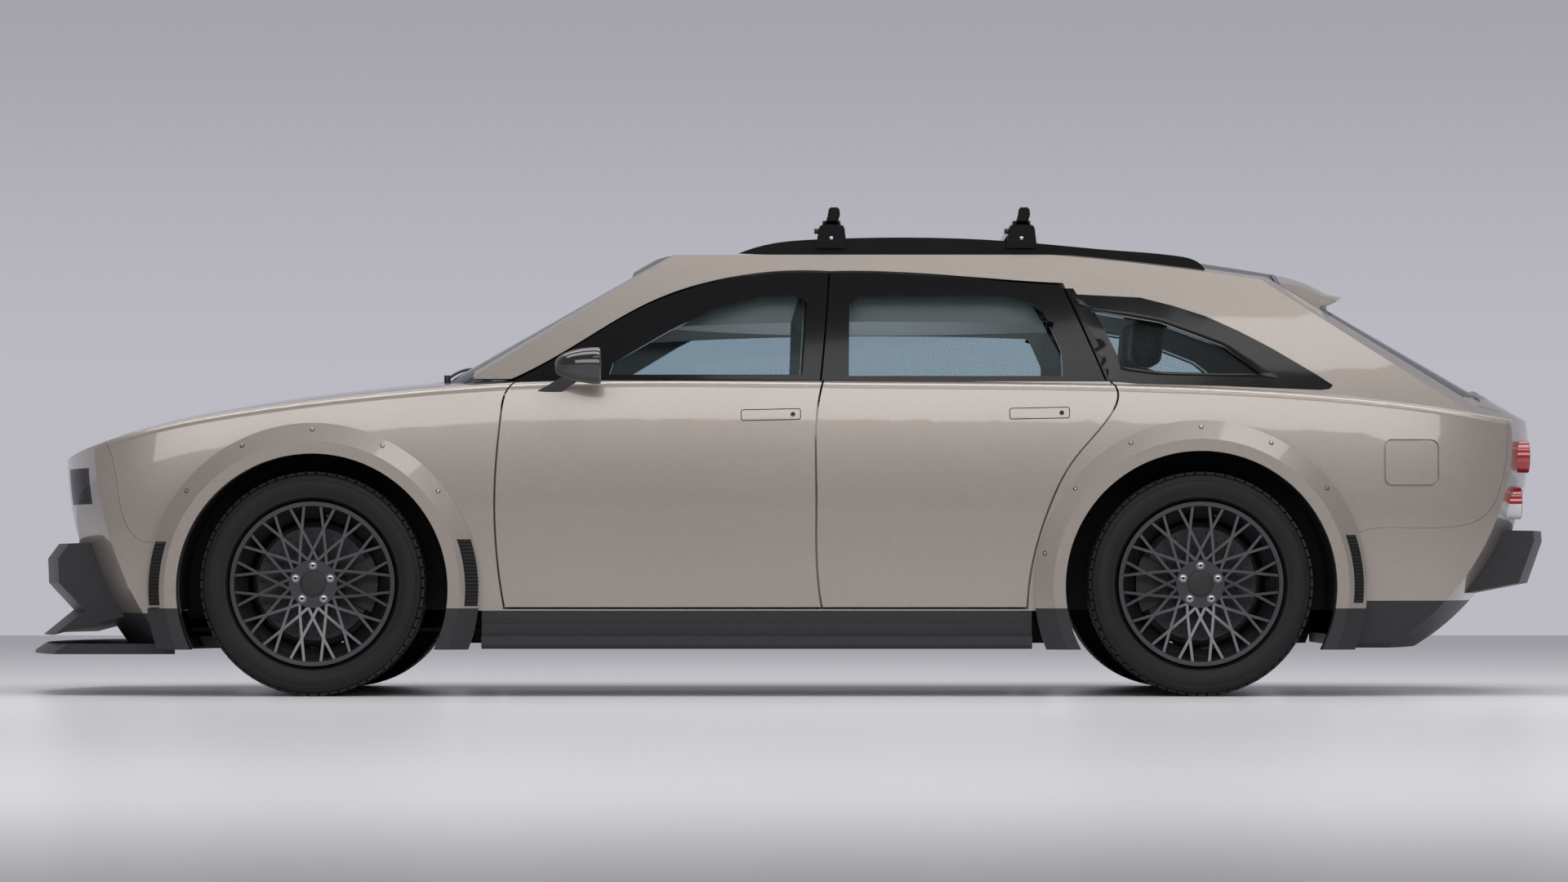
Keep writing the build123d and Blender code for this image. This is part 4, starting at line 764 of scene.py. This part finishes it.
for side, side_name in SIDES:
    tree = skin("body_sides")
    shape = bmesh.new()
    pairs = []
    for number, (outer, inner) in enumerate(QUARTER_SURROUND):
        if number == 0:
            outer = (to_shut_line(tree, outer[0] + 0.004, 1.352, side), 1.352)
        elif number >= len(QUARTER_SURROUND) - 2:
            outer = (to_shut_line(tree, outer[0] + 0.004, outer[1], side), outer[1])
        pairs.append((outer, inner))
    add_side_plate(shape, surround_rows(tuple(pairs)), tree, side, 0.0012, 0.010, ring=True, floats=1)
    finished(f"quarter_surround_{side_name}", shape, black_gloss, "body")


# Louvred vents behind and ahead of the wheels

VENTS = (
    (FRONT_AXLE_X, FRONT_ARCH_Z, 1, 0.5075, 0.5500, 0.286, 0.521),
    (FRONT_AXLE_X, FRONT_ARCH_Z, -1, 0.5075, 0.5440, 0.275, 0.513),
    (REAR_AXLE_X, REAR_ARCH_Z, 1, 0.5075, 0.5400, 0.310, 0.535),
)

for side, side_name in SIDES:
    tree = skin("arch_flares")
    slot_shade = bmesh.new()
    slats = bmesh.new()
    for x, centre_z, way, near, far, low, high in VENTS:
        rows = []
        for step in range(19):
            z = low + (high - low) * step / 18
            drop = z - centre_z
            ends = [x + way * math.sqrt(radius**2 - drop**2) for radius in (near, far)]
            rows.append([between((ends[0], z), (ends[1], z), share / 4) for share in range(5)])
        # The black plate behind the slats is painted shade in the vent openings.
        add_side_plate(slot_shade, rows, tree, side, 0.0006, 0.004)
        for number in range(20):
            z = low + (high - low) * (number + 0.5) / 20
            drop = z - centre_z
            ends = [x + way * math.sqrt(radius**2 - drop**2) for radius in (near + 0.002, far - 0.002)]
            feet = [Vector((end, side_skin_y(tree, end, z, side), z)) for end in ends]
            run = feet[1] - feet[0]
            out = run.cross(Vector((0, 0, 1))).normalized()
            if out.y * side < 0:
                out = -out
            frame_axes = Matrix((run.normalized(), out, Vector((0, 0, 1)))).transposed().to_4x4()
            tilt = Matrix.Rotation(math.radians(-28 * side * way), 4, "X")
            middle = (feet[0] + feet[1]) / 2 + out * 0.0012
            add_block(slats, middle, (run.length, 0.0055, 0.0034), 0.0008, frame_axes @ tilt, 1)
    finished(f"vent_slot_shade_{side_name}", slot_shade, shadow_black, "body")
    finished(f"vent_slats_{side_name}", slats, chassis_black, "body")


# Wipers at the foot of the windscreen

screen_tree = skin("windscreen", "cowl", "bonnet")


def roof_side_z(tree, x, y, fallback=1.0):
    hit = tree.ray_cast(Vector((x, y, 3.0)), Vector((0, 0, -1)))
    return hit[0].z if hit[0] else fallback


for number, (pivot_y, reach_y, reach_x) in enumerate(((-0.42, 0.56, 0.060), (0.20, 0.52, 0.066))):
    shape = bmesh.new()
    start = Vector((-1.160, pivot_y, roof_side_z(screen_tree, -1.160, pivot_y) + 0.012))
    steps = 10
    last = start
    for step in range(1, steps + 1):
        share = step / steps
        x = -1.160 + reach_x * share
        y = pivot_y + reach_y * share
        spot = Vector((x, y, roof_side_z(screen_tree, x, y) + 0.012))
        add_rod(shape, last, spot, 0.0050, segments=8)
        last = spot
    pivot = Vector((0, 0, 0.010))
    add_rod(shape, start - pivot * 3, start + pivot, 0.011, segments=20, bevel=0.002)
    finished(f"wiper_{number}", shape, chassis_black, "body")


# Roof-end spoiler on the tailgate

gate_tree = skin("tailgate", "tailgate_glass")
SPOILER_STATIONS = 33
SPOILER_HALF = 0.520


def spoiler_section(y):
    """Front edge, top, tip and underside of the spoiler at a distance from the middle."""
    share = (y / 0.45) ** 2
    tip_x = 1.915 - 0.042 * share
    tip_z = 1.362 - 0.018 * share
    front = (1.664, roof_side_z(gate_tree, 1.664, y) + 0.001)
    low_x = 1.798
    low_z = roof_side_z(gate_tree, low_x, y) - 0.002
    middle = ((front[0] + tip_x) / 2, (front[1] + tip_z) / 2 + 0.006)
    return [
        front,
        ((front[0] + middle[0]) / 2, (front[1] + middle[1]) / 2 + 0.003),
        middle,
        (tip_x - 0.050, tip_z + 0.0095),
        (tip_x - 0.008, tip_z + 0.0018),
        (tip_x, tip_z - 0.0030),
        (tip_x - 0.004, tip_z - 0.0080),
        (low_x + 0.012, low_z + 0.004),
        (low_x, low_z - 0.004),
        (low_x - 0.05, roof_side_z(gate_tree, low_x - 0.05, y) - 0.004),
        (front[0] + 0.03, roof_side_z(gate_tree, front[0] + 0.03, y) - 0.004),
    ]


shape = bmesh.new()
stations = []
for number in range(SPOILER_STATIONS):
    y = SPOILER_HALF * (2 * number / (SPOILER_STATIONS - 1) - 1)
    stations.append([shape.verts.new((x, y, z)) for x, z in spoiler_section(y)])
for near, far in zip(stations, stations[1:]):
    for first, second in zip(range(len(near)), list(range(1, len(near))) + [0]):
        shape.faces.new((near[first], near[second], far[second], far[first]))
shape.faces.new(stations[0])
shape.faces.new(stations[-1])
finished("roof_end_spoiler", shape, paint, "tailgate_lid", 50)


# Clamping feet of the roof rack: a cover with a lock and a slanting clamp on top


def add_prism(shape, outline, near_y, far_y, bevel):
    """An outline of (x, z) places drawn out between two distances from the middle."""
    made = bmesh.new()
    add_loft(made, [[(x, y, z) for x, z in outline] for y in (near_y, far_y)])
    bmesh.ops.recalc_face_normals(made, faces=made.faces)
    bmesh.ops.bevel(made, geom=made.edges, offset=bevel, segments=2, affect="EDGES")
    mesh = bpy.data.meshes.new("prism")
    made.to_mesh(mesh)
    made.free()
    shape.from_mesh(mesh)
    bpy.data.meshes.remove(mesh)


FOOT_COVER = (
    (-0.052, 1.502),
    (0.052, 1.502),
    (0.050, 1.520),
    (0.044, 1.572),
    (0.036, 1.581),
    (-0.034, 1.581),
    (-0.042, 1.572),
    (-0.050, 1.520),
)
FOOT_CLAMP = (
    (-0.026, 1.578),
    (0.030, 1.578),
    (0.022, 1.598),
    (0.030, 1.612),
    (0.026, 1.640),
    (-0.008, 1.640),
    (-0.014, 1.604),
)
RACK_FEET_X = (0.146, 0.786)

for side, side_name in SIDES:
    covers = bmesh.new()
    locks = bmesh.new()
    for foot_x in RACK_FEET_X:
        add_prism(covers, [(foot_x + x, z) for x, z in FOOT_COVER], side * 0.652, side * 0.668, 0.003)
        add_prism(covers, [(foot_x + x, z) for x, z in FOOT_CLAMP], side * 0.626, side * 0.660, 0.004)
        screw = Vector((foot_x - 0.058, side * 0.646, 1.560))
        add_rod(covers, screw, screw + Vector((0.018, 0, 0)), 0.009, segments=20, bevel=0.002)
        lock = Vector((foot_x, side * 0.667, 1.536))
        add_rod(locks, lock, lock + Vector((0, side * 0.0025, 0)), 0.0062, segments=24, bevel=0.0008)
    finished(f"rack_foot_covers_{side_name}", covers, black_gloss, "body", 40)
    finished(f"rack_foot_locks_{side_name}", locks, bright_steel, "body")


# Seats


def pad(shape, middle, size, turn, edge, crown=0.012, pull=0.006, channels=(), across_channels=(), cuts=22):
    """A stuffed pad: rounded, crowned on its top, drawn in at its sides, with sewn channels."""
    made = bmesh.new()
    bmesh.ops.create_cube(made, size=2)
    bmesh.ops.subdivide_edges(made, edges=made.edges, cuts=cuts, use_grid_fill=True)
    half = [part / 2 for part in size]
    for vert in made.verts:
        u, v, w = vert.co
        place = Vector((u * half[0], v * half[1], w * half[2]))
        core = Vector([max(-limit + edge, min(limit - edge, part)) for part, limit in zip(place, half)])
        away = place - core
        if away.length > 0:
            place = core + away.normalized() * edge
        swell = (1 - u**4) * (1 - v**4)
        place.z += crown * swell * w
        place.x *= 1 - pull / half[0] * (1 - v**2) * abs(u) * (1 - abs(w))
        place.y *= 1 - pull / half[1] * (1 - u**2) * abs(v) * (1 - abs(w))
        if w > 0.2:
            for line in channels:
                place.z -= 0.010 * math.exp(-(((u - line) * half[0] / 0.007) ** 2)) * swell
            for line in across_channels:
                place.z -= 0.010 * math.exp(-(((v - line) * half[1] / 0.007) ** 2)) * swell
        vert.co = place
    bmesh.ops.transform(made, matrix=Matrix.Translation(middle) @ turn, verts=made.verts)
    mesh = bpy.data.meshes.new("pad")
    made.to_mesh(mesh)
    made.free()
    shape.from_mesh(mesh)
    bpy.data.meshes.remove(mesh)


def make_pad(name, parts, covers=None):
    shape = bmesh.new()
    for part in parts:
        pad(shape, *part[:4], **(part[4] if len(part) > 4 else {}))
    piece = finished(name, shape, leather, "body", 60)
    if covers:
        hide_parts(covers)
    return piece


def lean(degrees):
    """Turns a flat pad up into a seat back that leans to the rear, its top to the front."""
    return Matrix.Rotation(math.radians(-90 + degrees), 4, "Y")


FRONT_SEAT_X = -0.570
BENCH_X = 0.580
CUSHION_SEAMS = (-0.55, -0.25, 0.05, 0.35, 0.65)
BACK_SEAMS = (-0.6, -0.3, 0.0, 0.3, 0.6)
BENCH_SEAMS = {"channels": (-0.5, -0.1, 0.3), "across_channels": (0.0,)}
BENCH_BACK_SEAMS = {"channels": (-0.5, 0.0, 0.5)}
BOLSTER_SEAM = {"channels": (0.3,)}
POST_RISE = Vector((0.005, 0, 0.10))

for side, side_name in SIDES:
    y = side * 0.390
    tip = Matrix.Rotation(math.radians(4.8), 4, "Y")
    make_pad(
        f"front_cushion_{side_name}",
        [
            ((FRONT_SEAT_X + 0.250, y, 0.470), (0.470, 0.300, 0.110), tip, 0.045, {"channels": CUSHION_SEAMS}),
            ((FRONT_SEAT_X + 0.240, y + 0.195, 0.478), (0.480, 0.100, 0.130), tip, 0.045),
            ((FRONT_SEAT_X + 0.240, y - 0.195, 0.478), (0.480, 0.100, 0.130), tip, 0.045),
        ],
        covers="front_seats",
    )
    back_x = FRONT_SEAT_X + 0.625
    make_pad(
        f"front_back_{side_name}",
        [
            ((back_x, y, 0.850), (0.580, 0.290, 0.090), lean(15), 0.040, {"channels": BACK_SEAMS}),
            ((back_x - 0.006, y + 0.185, 0.830), (0.560, 0.100, 0.104), lean(15), 0.045),
            ((back_x - 0.006, y - 0.185, 0.830), (0.560, 0.100, 0.104), lean(15), 0.045),
        ],
        covers="front_seats",
    )
    make_pad(
        f"front_headrest_{side_name}",
        [((FRONT_SEAT_X + 0.705, y, 1.243), (0.180, 0.250, 0.092), lean(6), 0.042, {"crown": 0.006})],
        covers="front_seats",
    )
    posts = bmesh.new()
    for post_y in (y - 0.055, y + 0.055):
        foot = Vector((FRONT_SEAT_X + 0.700, post_y, 1.09))
        add_rod(posts, foot, foot + POST_RISE, 0.006, segments=12)
    finished(f"front_headrest_posts_{side_name}", posts, bright_steel, "body")
    base = bmesh.new()
    add_block(base, (FRONT_SEAT_X + 0.280, y, 0.370), (0.480, 0.400, 0.104), 0.020)
    finished(f"front_seat_base_{side_name}", base, cabin_plastic, "body")

    y = side * 0.310
    make_pad(
        f"bench_cushion_{side_name}",
        [((BENCH_X + 0.230, y, 0.655), (0.450, 0.600, 0.105), tip, 0.045, BENCH_SEAMS)],
        covers="rear_bench",
    )
    bench_back_x = BENCH_X + 0.565
    make_pad(
        f"bench_back_{side_name}",
        [
            ((bench_back_x, y - side * 0.085, 0.900), (0.430, 0.430, 0.095), lean(21), 0.042, BENCH_BACK_SEAMS),
            ((bench_back_x + 0.035, y + side * 0.215, 0.985), (0.250, 0.170, 0.095), lean(21), 0.042, BOLSTER_SEAM),
        ],
        covers="rear_bench",
    )
    make_pad(
        f"bench_headrest_{side_name}",
        [((BENCH_X + 0.645, y, 1.200), (0.178, 0.255, 0.098), lean(5), 0.040, {"crown": 0.006})],
        covers="rear_bench",
    )
    posts = bmesh.new()
    for post_y in (y - 0.055, y + 0.055):
        add_rod(posts, (BENCH_X + 0.640, post_y, 1.06), (BENCH_X + 0.645, post_y, 1.15), 0.006, segments=12)
    finished(f"bench_headrest_posts_{side_name}", posts, bright_steel, "body")


# Door mirrors: a gloss cap over a satin shell, on a slanting arm

MIRROR_PROFILE = (
    (0.00, 1.078, 1.100, 0.010),
    (0.02, 1.069, 1.110, 0.026),
    (0.08, 1.061, 1.121, 0.046),
    (0.20, 1.053, 1.133, 0.064),
    (0.38, 1.045, 1.143, 0.077),
    (0.60, 1.037, 1.150, 0.084),
    (0.85, 1.032, 1.1535, 0.0868),
    (0.96, 1.032, 1.1530, 0.0862),
    (1.00, 1.034, 1.1505, 0.0840),
)
MIRROR_FRONT_X = -0.769
MIRROR_BACK_X = -0.619


def mirror_ring(x, low, high, half, y, count=40, power=2.6):
    ring = []
    for number in range(count):
        angle = math.tau * number / count
        c = math.cos(angle)
        s = math.sin(angle)
        across = math.copysign(abs(c) ** (2 / power), c) * half
        up = math.copysign(abs(s) ** (2 / power), s) * (high - low) / 2
        ring.append((x, y + across, (low + high) / 2 + up))
    return ring


for side, side_name in SIDES:
    y = side * 1.0625
    length = MIRROR_BACK_X - MIRROR_FRONT_X
    rings = []
    for share, low, high, half in MIRROR_PROFILE:
        rings.append(mirror_ring(MIRROR_FRONT_X + share * length, low, high, half, y))
    rings.append(mirror_ring(MIRROR_BACK_X - 0.001, 1.041, 1.1435, 0.0765, y))
    rings.append(mirror_ring(MIRROR_BACK_X - 0.010, 1.043, 1.1415, 0.0745, y))
    shell = bmesh.new()
    add_loft(shell, rings)
    arm_rings = []
    for share in (0.0, 0.25, 0.5, 0.75, 1.0):
        middle = Vector((-0.712 - 0.078 * share, side * (1.012 - 0.080 * share), 1.056 - 0.044 * share))
        half_x = 0.034 + 0.007 * share**2
        ring = []
        for number in range(28):
            angle = math.tau * number / 28
            lift = Vector((half_x * math.cos(angle), side * 0.012 * math.sin(angle), 0.010 * math.sin(angle)))
            ring.append(middle + lift)
        arm_rings.append(ring)
    add_loft(shell, arm_rings)
    body = f"door_front_{side_name}"
    piece = finished(f"door_mirror_{side_name}", shell, mirror_shell, body, 40)
    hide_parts(f"mirror_{side_name}")
    glass_shape = bmesh.new()
    rings = [
        mirror_ring(MIRROR_BACK_X - 0.0102, 1.044, 1.1405, 0.0735, y),
        mirror_ring(MIRROR_BACK_X - 0.0085, 1.045, 1.1395, 0.0725, y),
    ]
    add_loft(glass_shape, rings)
    finished(f"mirror_glass_{side_name}", glass_shape, mirror_silver, body)


# Tail lamps: bezels and inner rings

BEZEL_RINGS = (
    (((-0.003, 0.0480), (0.0015, 0.0485), (0.0015, 0.0530), (-0.003, 0.0537)), 64),
    (((-0.001, 0.0190), (0.0012, 0.0190), (0.0012, 0.0215), (-0.001, 0.0215)), 48),
)

for side, side_name in SIDES:
    for level, z, face_x in (("upper", 0.799, 2.4850), ("lower", 0.644, 2.4650)):
        y = side * 0.700
        hit = skin("tail_lamps").ray_cast(Vector((3.0, y, z)), Vector((-1, 0, 0)))
        if hit[0]:
            face_x = hit[0].x
        centre = Vector((face_x, y, z))
        bezel = bmesh.new()
        for profile, steps in BEZEL_RINGS:
            add_ring(bezel, profile, centre, (1, 0, 0), steps)
        finished(f"lamp_bezel_{level}_{side_name}", bezel, chassis_black, "body")


# Camera, floor and lights


def make_stage():
    floor_finish = Finish("studio_floor", Roughness=0.28, Specular_IOR_Level=0.35)
    soft = floor_finish.noise(0.35, 2.0)
    tone = floor_finish.blend(soft, (0.79, 0.785, 0.80), (0.83, 0.825, 0.84))
    floor_material = floor_finish.surface(Base_Color=tone)

    wall_finish = Finish("studio_wall", Roughness=0.9, Base_Color=(0.42, 0.415, 0.46))
    # The backdrop's light is painted: camera, glossy and transmission rays see an emission that is brighter near
    # the floor and darker higher up, while other rays see a matt wall.
    rise = wall_finish.smooth(wall_finish.along(wall_finish.place())[2], 1.4, 5.0)
    glow = wall_finish.blend(rise, (0.50, 0.49, 0.545), (0.35, 0.345, 0.385))
    light = wall_finish.node("ShaderNodeEmission", None, {"Color": glow, "Strength": 1.0})
    path = wall_finish.tree.nodes.new("ShaderNodeLightPath")
    seen = Value(wall_finish, path.outputs["Is Camera Ray"])
    for ray in ("Is Transmission Ray", "Is Glossy Ray"):
        seen = seen.maths("MAXIMUM", Value(wall_finish, path.outputs[ray]))
    matt = Value(wall_finish, wall_finish.shader.outputs[0])
    mixed = wall_finish.node("ShaderNodeMixShader", None, {0: seen, 1: matt, 2: light})
    behind = wall_finish.node("ShaderNodeNewGeometry", output="Backfacing")
    open_back = wall_finish.node("ShaderNodeBsdfTransparent")
    one_sided = wall_finish.node("ShaderNodeMixShader", None, {0: behind, 1: mixed, 2: open_back})
    wall_finish.tree.links.new(one_sided.socket, wall_finish.output.inputs["Surface"])

    for name, corners, material in (
        ("floor", ((-80, -80, 0), (80, -80, 0), (80, 80, 0), (-80, 80, 0)), floor_material),
        ("backdrop", ((-60, 18, 0), (60, 18, 0), (60, 18, 30), (-60, 18, 30)), wall_finish.material),
    ):
        shape = bmesh.new()
        shape.faces.new([shape.verts.new(corner) for corner in corners])
        mesh = bpy.data.meshes.new(name)
        shape.to_mesh(mesh)
        shape.free()
        mesh.materials.append(material)
        plane = bpy.data.objects.new(name, mesh)
        bpy.context.scene.collection.objects.link(plane)


def add_softbox(name, place, aim, size, power):
    lamp = bpy.data.lights.new(name, "AREA")
    lamp.shape = "RECTANGLE"
    lamp.size, lamp.size_y = size
    lamp.energy = power
    holder = bpy.data.objects.new(name, lamp)
    bpy.context.scene.collection.objects.link(holder)
    holder.matrix_world = Matrix.Translation(place) @ turn_from_z(Vector(place) - Vector(aim))


make_stage()
add_softbox("top_softbox", (0.0, -1.2, 5.2), (0.0, -0.6, 0.0), (9.0, 2.0), 200)
add_softbox("window_line_fill", (3.2, -5.2, 6.6), (1.4, 0.0, 1.2), (8.0, 1.2), 85)
add_softbox("front_fill", (0.0, -11.0, 4.5), (0.0, 0.0, 0.6), (14.0, 3.0), 445)
add_softbox("rear_fill", (0.0, 5.0, 8.0), (0.0, 0.0, 0.8), (12.0, 3.0), 200)

world = bpy.data.worlds.new("studio_air")
bpy.context.scene.world = world
world.use_nodes = True
world.node_tree.nodes["Background"].inputs["Color"].default_value = (0.90, 0.90, 0.94, 1)
world.node_tree.nodes["Background"].inputs["Strength"].default_value = 0.36

lens = bpy.data.cameras.new("photo_camera")
lens.lens = 135
lens.sensor_width = 36
lens.shift_y = 0.084
lens.clip_end = 200
camera = bpy.data.objects.new("photo_camera", lens)
bpy.context.scene.collection.objects.link(camera)
camera.location = (-0.0135, -20.45, 0.41)
camera.rotation_euler = (math.pi / 2, 0, 0)
bpy.context.scene.camera = camera
bpy.context.scene.view_settings.view_transform = "Standard"
